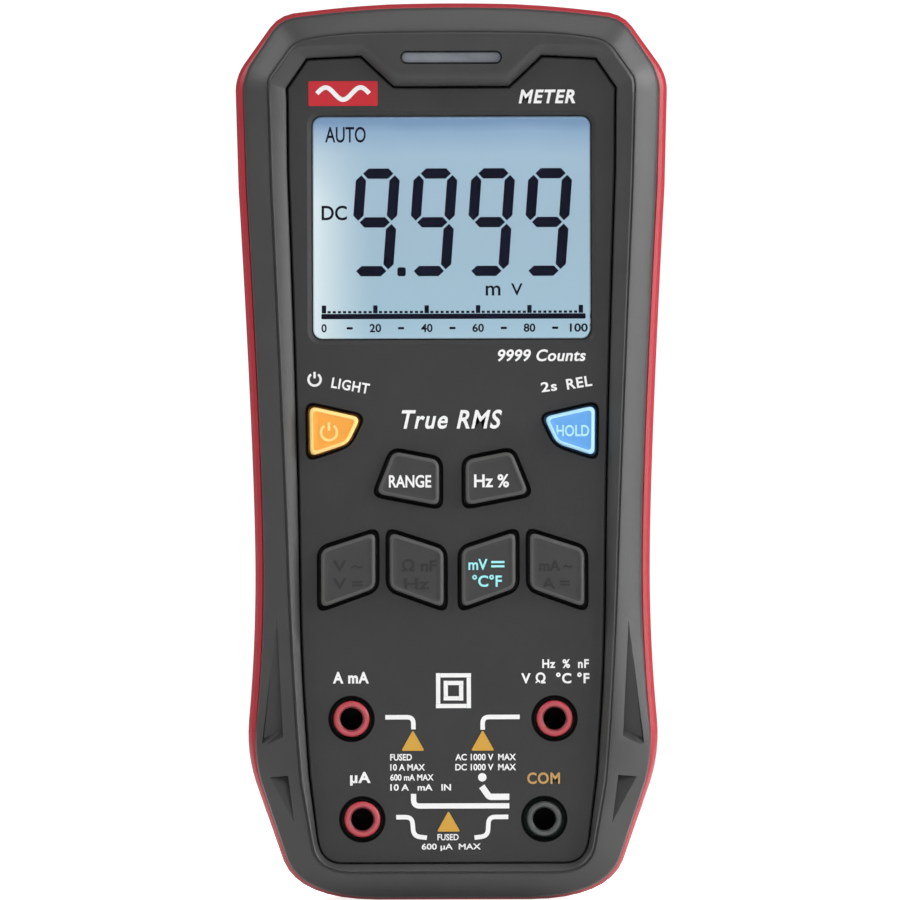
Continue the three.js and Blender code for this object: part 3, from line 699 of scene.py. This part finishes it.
def make_light_pipe():
    """The frosted bar in the slot at the top."""
    z0, z1 = PIPE_HIGH.z - 2.2, PIPE_HIGH.z
    rings = []
    for half, distance, depth in ((9.45, 0, 8), (9.45, 0, 0.75), (9.2, 0.25, 0.5), (8.8, 0.6, 0.42)):
        edge = rounded_rectangle(-half, z0 + distance, half, z1 - distance, 1 - distance)
        rings.append((edge, PIPE_LOW.y + depth))
    milky = plain_material("frosted_light_bar", (0.17, 0.185, 0.21), 0.4)
    frosted = textured(milky, 900, 0.00002, mottle=0.3)
    return piece("light_bar", loft(rings), frosted, "case", ("light_pipe",))


# ------------------------------------------------------------------ lettering and printed shapes

def merged(shapes):
    """Several shapes as one."""
    whole = bmesh.new()
    for bm in shapes:
        mesh = mesh_of("part", bm)
        whole.from_mesh(mesh)
        bpy.data.meshes.remove(mesh)
    return whole


def lettering(words, left, right, bottom, top, y, weight, slant=0.0, turn=0.0, spacing=1.0):
    """Words that fill a box on a face at depth y, as a thin solid; turn is in degrees."""
    curve = bpy.data.curves.new("words", "FONT")
    curve.body = words
    curve.size = 10
    curve.extrude = 0.5
    curve.offset = weight
    curve.space_character = spacing
    curve.resolution_u = 4
    thing = placed("words", curve)
    bpy.context.view_layer.update()
    mesh = bpy.data.meshes.new_from_object(thing.evaluated_get(bpy.context.evaluated_depsgraph_get()))
    bm = bmesh.new()
    bm.from_mesh(mesh)
    bpy.data.objects.remove(thing)
    bpy.data.curves.remove(curve)
    bpy.data.meshes.remove(mesh)
    low = Vector([min(vertex.co[axis] for vertex in bm.verts) for axis in range(3)])
    high = Vector([max(vertex.co[axis] for vertex in bm.verts) for axis in range(3)])
    wide, tall = (right - left) / (high.x - low.x), (top - bottom) / (high.y - low.y)
    middle_x, middle_z = (left + right) / 2, (bottom + top) / 2
    tilt = math.radians(turn)
    for vertex in bm.verts:
        x = (vertex.co.x - (low.x + high.x) / 2) * wide
        z = (vertex.co.y - (low.y + high.y) / 2) * tall
        x += slant * z
        depth = y - PRINT_THICKNESS * (vertex.co.z - low.z) / (high.z - low.z)
        vertex.co = (middle_x + x * math.cos(tilt) - z * math.sin(tilt), depth,
                     middle_z + x * math.sin(tilt) + z * math.cos(tilt))
    bmesh.ops.remove_doubles(bm, verts=bm.verts, dist=0.0001)
    bmesh.ops.recalc_face_normals(bm, faces=bm.faces)
    return bm


def bent_line(points, radius):
    """A line whose corners are rounded."""
    points = [Vector(point) for point in points]
    line = [points[0]]
    for before, corner, after in zip(points, points[1:], points[2:]):
        begin = corner + (before - corner).normalized() * min(radius, (before - corner).length / 2)
        end = corner + (after - corner).normalized() * min(radius, (after - corner).length / 2)
        line += curve(begin, corner, end, range(CURVE_STEPS + 1), CURVE_STEPS)
    return line + [points[-1]]


def printed_line(points, width, y, radius=1.2):
    """A printed line of even width."""
    line = bent_line(points, radius)
    sections = []
    for index, point in enumerate(line):
        before = line[max(index - 1, 0)]
        after = line[min(index + 1, len(line) - 1)]
        along = (after - before).normalized()
        across = Vector((-along.y, along.x)) * width / 2
        left, right = point - across, point + across
        front = y - PRINT_THICKNESS
        sections.append(([(left.x, y, left.y), (right.x, y, right.y), (right.x, front, right.y),
                          (left.x, front, left.y)], 0))
    return skin(sections)


def printed_shape(points, y):
    """A printed patch with a closed outline."""
    return prism([Vector(point) for point in points], y - PRINT_THICKNESS, y)


def printed_block(left, bottom, right, top, radius, y):
    """A printed rectangle with round corners."""
    return printed_shape(rounded_rectangle(left, bottom, right, top, radius), y)


RING_STEPS = 36


def printed_ring(x, z, radius, width, y, from_angle=0, to_angle=360):
    """A printed ring or arc, by angles in degrees from the right, anticlockwise."""
    if to_angle - from_angle >= 360:
        profile = [(radius - width / 2, y - PRINT_THICKNESS), (radius + width / 2, y - PRINT_THICKNESS),
                   (radius + width / 2, y), (radius - width / 2, y)]
        return spun(profile, x, z, RING_STEPS)
    points = []
    for step in range(RING_STEPS + 1):
        angle = math.radians(from_angle + (to_angle - from_angle) * step / RING_STEPS)
        points.append((x + radius * math.cos(angle), z + radius * math.sin(angle)))
    return printed_line(points, width, y, radius=0.01)


def power_symbol(x, z, radius, width, y):
    """A ring open at its top, with a short bar through the opening."""
    bar = printed_line([(x, z + radius * 0.2), (x, z + radius * 1.25)], width, y)
    return [printed_ring(x, z, radius, width, y, 125, 415), bar]


# ------------------------------------------------------------------ what the display shows

GLASS_LOW, GLASS_HIGH = millimetres("display_glass")
DIGIT_HEIGHT = 20.4
DIGIT_WIDTH = 8.3
DIGIT_BASE = WINDOW_LOW.z + 11.8
DIGIT_LEFTS = (-18.7, -7.8, 3.1, 13.9)
STROKE = 1.95
DIGIT_SLANT = 0.075

# Each with its left, right, bottom and top, and its weight.
DISPLAY_WORDS = (
    ("AUTO", (-23.9, -16.2, 143.4, 146.4), 0.12),
    ("DC", (-24.6, -19.8, 128.7, 131.5), 0.18),
    ("m", (6.4, 9.2, 114.4, 116.3), 0.12),
    ("V", (11.2, 13.4, 114.4, 116.7), 0.12),
)


def stroke(start, end):
    """One bar of a digit, pointed at both ends."""
    start, end = Vector(start), Vector(end)
    along = (end - start).normalized()
    across = Vector((-along.y, along.x)) * STROKE / 2
    inner_start, inner_end = start + along * STROKE / 2, end - along * STROKE / 2
    return [start, inner_start - across, inner_end - across, end, inner_end + across, inner_start + across]


def nine(left):
    """The bars of a nine, from its left edge."""
    half = STROKE / 2
    x0, x1 = left + half, left + DIGIT_WIDTH - half
    z0, z1 = DIGIT_BASE + half, DIGIT_BASE + DIGIT_HEIGHT - half
    middle = (z0 + z1) / 2
    gap = 0.3
    bars = [((x0 + gap, z1), (x1 - gap, z1)), ((x0 + gap, middle), (x1 - gap, middle)),
            ((x0 + gap, z0), (x1 - gap, z0)), ((x0, middle + gap), (x0, z1 - gap)),
            ((x1, middle + gap), (x1, z1 - gap)), ((x1, z0 + gap), (x1, middle - gap))]
    shapes = []
    for start, end in bars:
        points = [(point.x + DIGIT_SLANT * (point.y - middle), point.y) for point in stroke(start, end)]
        shapes.append(printed_shape(points, GLASS_LOW.y))
    return shapes


def bar_graph():
    """The scale along the foot of the display, from 0 to 100."""
    y = GLASS_LOW.y
    base, left, right = WINDOW_LOW.z + 3.7, -24.2, 24.4
    shapes = [printed_block(left - 0.5, base, right + 0.9, base + 1.0, 0.2, y)]
    for step in range(51):
        x = left + (right - left) * step / 50
        major = step % 10 == 0
        tall = 1.5 if major else 0.45
        width = 0.42 if major else 0.3
        shapes.append(printed_block(x - width, base + 1.1, x + width, base + 1.1 + tall, 0.1, y))
    for index, number in enumerate(("0", "20", "40", "60", "80", "100")):
        x = left + (right - left) * index / 5
        half = 0.5 * len(number) + 0.1 * (len(number) - 1)
        x -= 0.4 if number == "100" else 0
        shapes.append(lettering(number, x - half, x + half, base - 2.5, base - 0.9, y, weight=0.25))
        if index < 5:
            x += (right - left) / 10
            shapes.append(printed_block(x - 0.6, base - 1.95, x + 0.6, base - 1.5, 0.2, y))
    return shapes


def make_display():
    """The lit cell behind the window, and everything shown on it."""
    glow = display_glow(WINDOW_LOW, WINDOW_HIGH)
    piece("display_cell", box(GLASS_LOW, GLASS_HIGH), glow, "case", ("display_glass",))
    y = GLASS_LOW.y
    shown = [shape for left in DIGIT_LEFTS for shape in nine(left)]
    point_x = DIGIT_LEFTS[0] + DIGIT_WIDTH + 0.1
    shown.append(printed_block(point_x, DIGIT_BASE, point_x + 1.6, DIGIT_BASE + 1.7, 0.4, y))
    shown += [lettering(words, *place, y, weight) for words, place, weight in DISPLAY_WORDS]
    shown += bar_graph()
    return piece("display_figures", merged(shown), INK_DISPLAY, "case")


# ------------------------------------------------------------------ keys and jacks

# Each key's face colour, the paler colour painted on its edge as a highlight, and a slot name.
KEY_FINISHES = {
    "key_power": (KEY_ORANGE, KEY_ORANGE_HIGHLIGHT_AND_INK, "orange_plastic"),
    "key_hold": (KEY_BLUE, KEY_BLUE_HIGHLIGHT_AND_INK, "blue_plastic"),
}


def key_body(node):
    """The name of the body that a key moves with."""
    return node.removeprefix("key_") + "_key"


def make_key(node):
    """One key: a soft-edged cap whose rounded edge is painted paler as a highlight, and its lip behind the
    panel.
    """
    low, high = millimetres(node)
    front = low.y
    # Bands marked 1 take the paler painted highlight on the rounded edge.
    bands = ((-0.45, high.y), (-0.45, -18.3), (0, -18.3), (0, front + 0.8), (0.05, front + 0.5, 1),
             (0.2, front + 0.18, 1), (0.42, front + 0.03, 1), (0.68, front + 0.02, 1), (0.95, front + 0.12),
             (1.5, front + 0.18), (1.7, front + 0.18))
    rings = [(key_outline(node, distance), *rest) for distance, *rest in bands]
    face, edge_highlight, slot = KEY_FINISHES.get(node, (KEY_GREY, KEY_GREY_PAINTED_HIGHLIGHT, "key_plastic"))
    return piece(f"{node}_cap", loft(rings), [face, edge_highlight], key_body(node), (node,))


def make_key_legends():
    """What is printed on the keys."""
    legends = {
        "key_range": (INK_WHITE, [("RANGE", -12.0, -4.0, 78.1, 80.5)]),
        "key_hz_percent": (INK_WHITE, [("Hz %", 4.1, 10.7, 78.1, 80.6)]),
        "key_hold": (KEY_BLUE_HIGHLIGHT_AND_INK, [("HOLD", 19.7, 25.9, 87.7, 89.9)]),
        "key_millivolt": (INK_TEAL, [("mV", 3.0, 6.6, 62.5, 64.6), ("°C°F", 3.7, 9.3, 59.3, 61.6)]),
        "key_voltage": (INK_FAINT, [("V ~", -22.6, -17.0, 62.3, 64.4), ("V =", -22.6, -17.0, 58.9, 61.0)]),
        "key_resistance": (INK_FAINT, [("Ω", -9.6, -7.2, 62.3, 64.6), ("nF", -6.0, -3.0, 62.3, 64.4),
                                       ("Hz", -9.2, -4.4, 58.9, 61.0)]),
        "key_current": (INK_FAINT, [("mA ~", 16.4, 22.6, 62.3, 64.4), ("A =", 16.9, 22.1, 58.9, 61.0)]),
    }
    for node, (ink, words) in legends.items():
        y = KEY_FRONT + 0.175
        shapes = [lettering(text, *place, y, weight=0.22) for text, *place in words]
        if node == "key_millivolt":
            for z in (64.0, 63.2):
                shapes.append(printed_line([(7.3, z), (9.8, z)], 0.42, y))
        piece(f"{node}_legend", merged(shapes), ink, key_body(node))
    symbol = power_symbol(-23.3, 88.6, 1.5, 0.5, KEY_FRONT + 0.175)
    piece("key_power_legend", merged(symbol), KEY_ORANGE_HIGHLIGHT_AND_INK, key_body("key_power"))


JACK_BORE_RADIUS = 2.05
JACK_CREST_RADIUS = 2.7


def make_jack(name, x, z):
    """The rounded ring in the mouth of a jack for a 4 mm plug, with a painted highlight along its crest,
    painted shade on the inner slope of a red ring, and painted shade in its bore.
    """
    node = f"jack_{name}_ring"
    low, high = millimetres(node)
    bore, crest = JACK_BORE_RADIUS, JACK_CREST_RADIUS
    radius = (high.x - low.x) / 2 - 0.1
    front = low.y
    profile = [(bore, high.y), (radius, high.y), (radius, front + 0.5), (radius - 0.1, front + 0.25),
               (radius - 0.35, front + 0.06), (crest, front), (crest - 0.25, front + 0.06),
               (crest - 0.5, front + 0.3), (bore + 0.05, front + 0.7), (bore, front + 1.2)]
    # Outer colour, painted highlight on the crest, inner slope (painted shade on the red rings), then
    # painted shade in the bore.
    faces = [RING_BLACK, RING_GREY_PAINTED_HIGHLIGHT, RING_BLACK] if name == "common" else [RING_RED, RING_PINK_PAINTED_HIGHLIGHT, RING_RED_PAINTED_SHADE]
    thing = piece(f"jack_{name}_mouth", spun(profile, x, z), [*faces, PAINTED_WELL_SHADE], "case", (node,))
    for polygon in thing.data.polygons:
        reach = Vector((polygon.center.x / MM - x, polygon.center.z / MM - z)).length
        polygon.material_index = sum(reach < step for step in (radius - 0.3, crest - 0.35, bore + 0.04))
    return thing


# ------------------------------------------------------------------ print on the panel

WAVE_STEPS = 36


def make_badge(y):
    """A small red patch with a sine wave on it."""
    patch = printed_block(-27.0, 150.3, -13.9, 155.0, 0.3, y)
    piece("badge", patch, INK_RED, "case")
    wave = []
    for step in range(WAVE_STEPS + 1):
        share = step / WAVE_STEPS
        wave.append((-25.4 + 9.9 * share, 152.65 + 1.15 * math.sin(3 * math.pi * share)))
    line = printed_line(wave, 0.85, y - PRINT_THICKNESS, radius=0.05)
    piece("badge_wave", line, INK_WHITE, "case")


def warning_triangle(x, z, half, tall, y):
    """A plain triangle with rounded corners."""
    corners = [(x - half, z - tall / 2), (x + half, z - tall / 2), (x, z + tall / 2)]
    return printed_shape(rounded_corners(corners, 0.4), y)


def route_lines(y):
    """The lines that run from the jacks to the ratings between them."""
    return [
        printed_line([(-12.8, 34.7), (-7.5, 34.7), (-7.5, 32.4)], 0.85, y),
        printed_line([(12.6, 34.7), (5.6, 34.7), (5.6, 32.3)], 0.85, y),
        printed_line([(-7.5, 20.2), (-7.5, 17.9), (10.6, 17.9)], 1.0, y),
        printed_line([(5.4, 21.6), (6.8, 19.6), (10.6, 19.6)], 1.2, y, radius=0.4),
        printed_line([(-10.8, 15.8), (-7.8, 15.8), (-7.5, 12.2), (-5, 11.9)], 0.85, y),
        printed_line([(10.4, 15.8), (6.7, 15.8), (6.5, 12.2), (4, 11.9)], 0.85, y),
        printed_shape(circle(5.5, 23.3, 0.8, 24), y),
    ]


def ratings(lines, left, top_line, y):
    """Small lines of ratings below each other, aligned to the left."""
    tall, pitch, letter = 1.25, 1.9, 0.82
    shapes = []
    for index, words in enumerate(lines):
        base = top_line - pitch * index
        shapes.append(lettering(words, left, left + letter * len(words), base, base + tall, y, weight=0.25))
    return shapes


def double_square(x, z, half, y):
    """Two nested squares, drawn as lines."""
    shapes = []
    for size in (half, half * 0.5):
        corners = [(x - size, z - size), (x + size, z - size), (x + size, z + size), (x - size, z + size)]
        for first, second in zip(corners, corners[1:] + corners[:1]):
            start, end = Vector(first), Vector(second)
            along = (end - start).normalized() * 0.42
            shapes.append(printed_line([start - along, end - along * 1.02], 0.8, y))
    return shapes


# Each with its left, right, bottom and top, and its weight, slant, turn and spacing.
PANEL_WORDS = (
    ("METER", (13.0, 23.7, 150.7, 153.3), (0.3, 0.2, 0, 1.15)),
    ("9999 Counts", (8.6, 25.3, 101.9, 104.2), (0.22, 0.2, 0, 1.05)),
    ("LIGHT", (-22.8, -15.6, 96.4, 98.4), (0.22, 0, -10, 1.1)),
    ("2s", (16.8, 19.8, 96.2, 98.1), (0.22, 0, 7, 1.1)),
    ("REL", (21.6, 26.4, 96.9, 98.9), (0.22, 0, 9, 1.1)),
    ("True RMS", (-9.8, 9.2, 89.2, 92.8), (0.2, 0.22, 0, 1.12)),
    ("A mA", (-22.7, -15.9, 41.1, 43.3), (0.35, 0, 0, 1.1)),
    ("Hz  %  nF", (16.9, 25.7, 43.9, 45.6), (0.3, 0, 0, 1.1)),
    ("V Ω  °C °F", (12.9, 25.8, 41.0, 43.1), (0.3, 0, 0, 1.1)),
    ("µA", (-19.5, -15.6, 21.8, 24.4), (0.35, 0, 0, 1.1)),
    ("FUSED", (-3.0, 1.0, 11.4, 12.6), (0.2,)),
    ("600 µA  MAX", (-6.0, 5.2, 9.4, 10.8), (0.2,)),
)


def make_panel_print():
    """Everything printed on the panel."""
    y = PANEL_FRONT - 0.005
    make_badge(y)
    white = [
        *[lettering(words, *place, y, *style) for words, place, style in PANEL_WORDS],
        *ratings(["FUSED", "10 A MAX", "600 mA MAX", "10 A   mA   IN"], -11.9, 26.5, y),
        *ratings(["AC 1000 V  MAX", "DC 1000 V  MAX"], 0.4, 26.5, y),
        *power_symbol(-26.0, 98.6, 1.15, 0.45, y),
        *double_square(0.1, 39.7, 2.9, y),
        *route_lines(y),
    ]
    piece("panel_print_white", merged(white), INK_WHITE, "case")
    orange = [warning_triangle(x, z, 2.2, 3.9, y) for x, z in ((-7.6, 30.3), (5.6, 30.3), (-0.9, 15.0))]
    piece("panel_print_orange", merged(orange), INK_ORANGE, "case")
    gold = lettering("COM", 14.0, 20.2, 22.0, 24.2, y, weight=0.25, spacing=1.1)
    piece("panel_print_gold", gold, INK_GOLD, "case")


# ------------------------------------------------------------------ back

DARK_PLASTIC = textured(
    plain_material("dark_plastic", (0.030, 0.030, 0.031), 0.55, specular=0.35), 5200, 0.00004)
RELIEF = 0.5
BARREL_RADIUS = 1.5
PIVOT_RADIUS = 1.2


def make_stand():
    """The folding stand: a frame with a barrel along its top edge and a ribbed grip at its foot."""
    low, high = STAND_LOW, STAND_HIGH
    half = high.x - 2
    hinge_z = high.z - (high.y - low.y) / 2
    middle_y = (low.y + high.y) / 2
    blank = prism(stand_outline(half, low.z, hinge_z, 2.2), low.y, high.y)
    rods = []
    for radius, length, segments in ((BARREL_RADIUS, 2 * half, 32), (PIVOT_RADIUS, 2 * high.x, 24)):
        rod = bmesh.new()
        bmesh.ops.create_cone(
            rod, cap_ends=True, segments=segments, radius1=radius, radius2=radius, depth=length)
        bmesh.ops.rotate(rod, verts=rod.verts, matrix=Matrix.Rotation(math.pi / 2, 3, "Y"))
        bmesh.ops.translate(rod, verts=rod.verts, vec=(0, middle_y, hinge_z))
        rods.append(rod)
    window = prism(rounded_rectangle(-19, 19.8, 19, 90.4, 2.5), low.y - 1, high.y + 1)
    sunk = [rounded_rectangle(-16, z, 16, z + 0.9, 0.4) for z in (13.9, 15.7, 17.5)]
    sunk += [rounded_rectangle(side - 2.6, 26, side + 2.6, 86, 2.2) for side in (-23.7, 23.7)]
    cuts = [window, *[prism(edge, high.y - RELIEF, high.y + 1) for edge in sunk]]
    body = combined(combined(blank, rods, "UNION"), cuts)
    return piece("stand", body, DARK_PLASTIC, "stand", ("tilt_stand",), rounding=0.3)


def make_door():
    """The battery door, with its screw hole, and a sunk panel with ribs and two raised bars."""
    low, high = millimetres("battery_door")
    blank = prism(rounded_rectangle(low.x, low.z, high.x, high.z, 2), low.y, high.y)
    cutters = [prism(circle(DOOR_SCREW_X, DOOR_SCREW_Z, DOOR_SCREW_HOLE), low.y - 1, high.y + 1),
               prism(circle(DOOR_SCREW_X, DOOR_SCREW_Z, SCREW_HEAD_HOLE), low.y + 0.9, high.y + 1),
               prism(rounded_rectangle(-15.5, 23.4, 15.5, 78, 1.5), high.y - 0.35, high.y + 1)]
    raised = [prism(rounded_rectangle(-9, z, 9, z + 1.0, 0.45), high.y - RELIEF, high.y)
              for z in (26, 28.2, 30.4, 32.6)]
    raised += [prism(rounded_rectangle(x - 4.6, 42, x + 4.6, 72, 1.4), high.y - RELIEF, high.y - 0.12)
               for x in (-7.6, 7.6)]
    body = combined(combined(blank, cutters), raised, "UNION")
    return piece("door", body, DARK_PLASTIC, "door", ("battery_door",), rounding=0.18)


# ------------------------------------------------------------------ pieces kept as the frame has them

def finish_inner_pieces():
    """Gives each piece inside the case, and each screw, its own material."""
    steel = textured(plain_material("zinc_steel", (0.55, 0.56, 0.58), 0.32, metallic=1.0), 900, 0.00001)
    brass = textured(plain_material("plated_brass", (0.62, 0.45, 0.2), 0.3, metallic=1.0), 700, 0.00001)
    board = textured(plain_material("green_board", (0.015, 0.13, 0.045), 0.35), 300, 0.00002, mottle=0.25)
    ceramic = textured(plain_material("ceramic", (0.72, 0.70, 0.64), 0.35), 800, 0.00001)
    # Plain black for the pieces not listed; on the jack sockets it paints the shade deep in the bores.
    black_and_socket_shade = textured(plain_material("inner_black_and_socket_shade", (0.012, 0.012, 0.012), 0.5), 1500, 0.00002)
    white = textured(plain_material("light_guide", (0.8, 0.83, 0.86), 0.35), 900, 0.00001)
    sleeve = plain_material("cell_sleeve", (0.05, 0.07, 0.11), 0.3, metallic=0.4)
    cell = textured(sleeve, 500, 0.00001, mottle=0.3)
    finishes = {
        "case_screw": steel, "door_screw": steel, "shield_can": steel, "shunt_wire": steel,
        "cell_link": brass, "contact": brass, "fuse_current_clip": brass, "fuse_microamps_clip": brass,
        "fuse": ceramic,
        "surge_resistor": ceramic, "main_board": board, "cell_left": cell, "cell_right": cell,
        "display_backlight": white, "indicator_light": white,
    }
    for node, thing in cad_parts.items():
        matching = [prefix for prefix in finishes if node.startswith(prefix)]
        material = finishes[max(matching, key=len)] if matching else black_and_socket_shade
        for material_slot in thing.material_slots:
            material_slot.material = material


# ------------------------------------------------------------------ stage

WHITE_LIGHT = (1, 1, 1, 1)
FLOOR_HALF = 0.9
FLOOR_GLOW_SEEN = 0.85
FLOOR_GLOW_CAST = 0.2
WORLD_SEEN = 1.1
WORLD_CAST = 0.16
LIGHT_SPREAD = math.radians(150)
LIGHTS_AIM = Vector((0, 0, 0.09))
LIGHTS = (
    ("right", (0.85, -0.15, 0.4), 0.6, 8),
    ("front", (0.3, -1.3, 0.75), 0.7, 2.8),
    ("left", (-0.75, -0.2, 0.65), 0.6, 3.7),
    ("above", (0.1, -0.1, 0.9), 0.5, 1.6),
)


def make_stage():
    """The plain pale floor."""
    floor_shape = bmesh.new()
    bmesh.ops.create_grid(floor_shape, x_segments=1, y_segments=1, size=FLOOR_HALF)
    floor = placed("floor", mesh_of("floor", floor_shape))
    pale = plain_material("pale_floor", (0.9, 0.9, 0.9), 0.9, specular=0.0)
    shader = pale.node_tree.nodes["Principled BSDF"]
    shader.inputs["Emission Color"].default_value = WHITE_LIGHT
    path = add(pale, "ShaderNodeLightPath")
    strength = add(pale, "ShaderNodeMapRange", To_Min=FLOOR_GLOW_CAST, To_Max=FLOOR_GLOW_SEEN)
    wire(pale, path, "Is Camera Ray", strength, "Value")
    wire(pale, strength, "Result", shader, "Emission Strength")
    floor.data.materials.append(pale)


def make_lights():
    """Soft square lights that face the middle of the object."""
    for name, place, size, power in LIGHTS:
        data = bpy.data.lights.new(name, "AREA")
        data.energy = power
        data.size = size
        data.spread = LIGHT_SPREAD
        thing = placed(name, data)
        thing.location = place
        thing.rotation_euler = (LIGHTS_AIM - Vector(place)).to_track_quat("-Z", "Y").to_euler()


def make_world():
    """White to look at, and a gentle light from all round."""
    world = bpy.data.worlds.new("studio")
    bpy.context.scene.world = world
    world.use_nodes = True
    seen = world.node_tree.nodes["Background"]
    seen.inputs["Color"].default_value = WHITE_LIGHT
    seen.inputs["Strength"].default_value = WORLD_SEEN
    lighting = add(world, "ShaderNodeBackground", Color=WHITE_LIGHT, Strength=WORLD_CAST)
    choose = add(world, "ShaderNodeMixShader")
    path = add(world, "ShaderNodeLightPath")
    wire(world, path, "Is Camera Ray", choose, "Fac")
    wire(world, lighting, "Background", choose, 1)
    wire(world, seen, "Background", choose, 2)
    wire(world, choose, "Shader", world.node_tree.nodes["World Output"], "Surface")


CAMERA_LENS = 800
SENSOR = 36
FRAME_HEIGHT = 170.75
CAMERA_EXTRA = 8
CAMERA_LEFT = -0.43
CAMERA_HEIGHT = 85.2
CAMERA_ROLL = 0.0028


def make_camera():
    """A long lens, level with the middle of the object."""
    data = bpy.data.cameras.new("camera")
    data.lens = CAMERA_LENS
    data.sensor_width = SENSOR
    data.clip_end = 50
    camera = placed("camera", data)
    away = FRAME_HEIGHT * CAMERA_LENS / SENSOR + CAMERA_EXTRA
    camera.location = Vector((CAMERA_LEFT, -away, CAMERA_HEIGHT)) * MM
    camera.rotation_euler = (math.pi / 2, CAMERA_ROLL, 0)
    bpy.context.scene.camera = camera


make_camera()
make_world()
make_stage()
make_lights()
bpy.context.scene.view_settings.view_transform = "Standard"

make_shell()
make_bumper()
make_panel()
make_window()
make_light_pipe()
make_display()
for key_node in KEY_NODES:
    make_key(key_node)
make_key_legends()
for jack_name, (jack_x, jack_z) in JACKS.items():
    make_jack(jack_name, jack_x, jack_z)
make_panel_print()
make_stand()
make_door()
finish_inner_pieces()
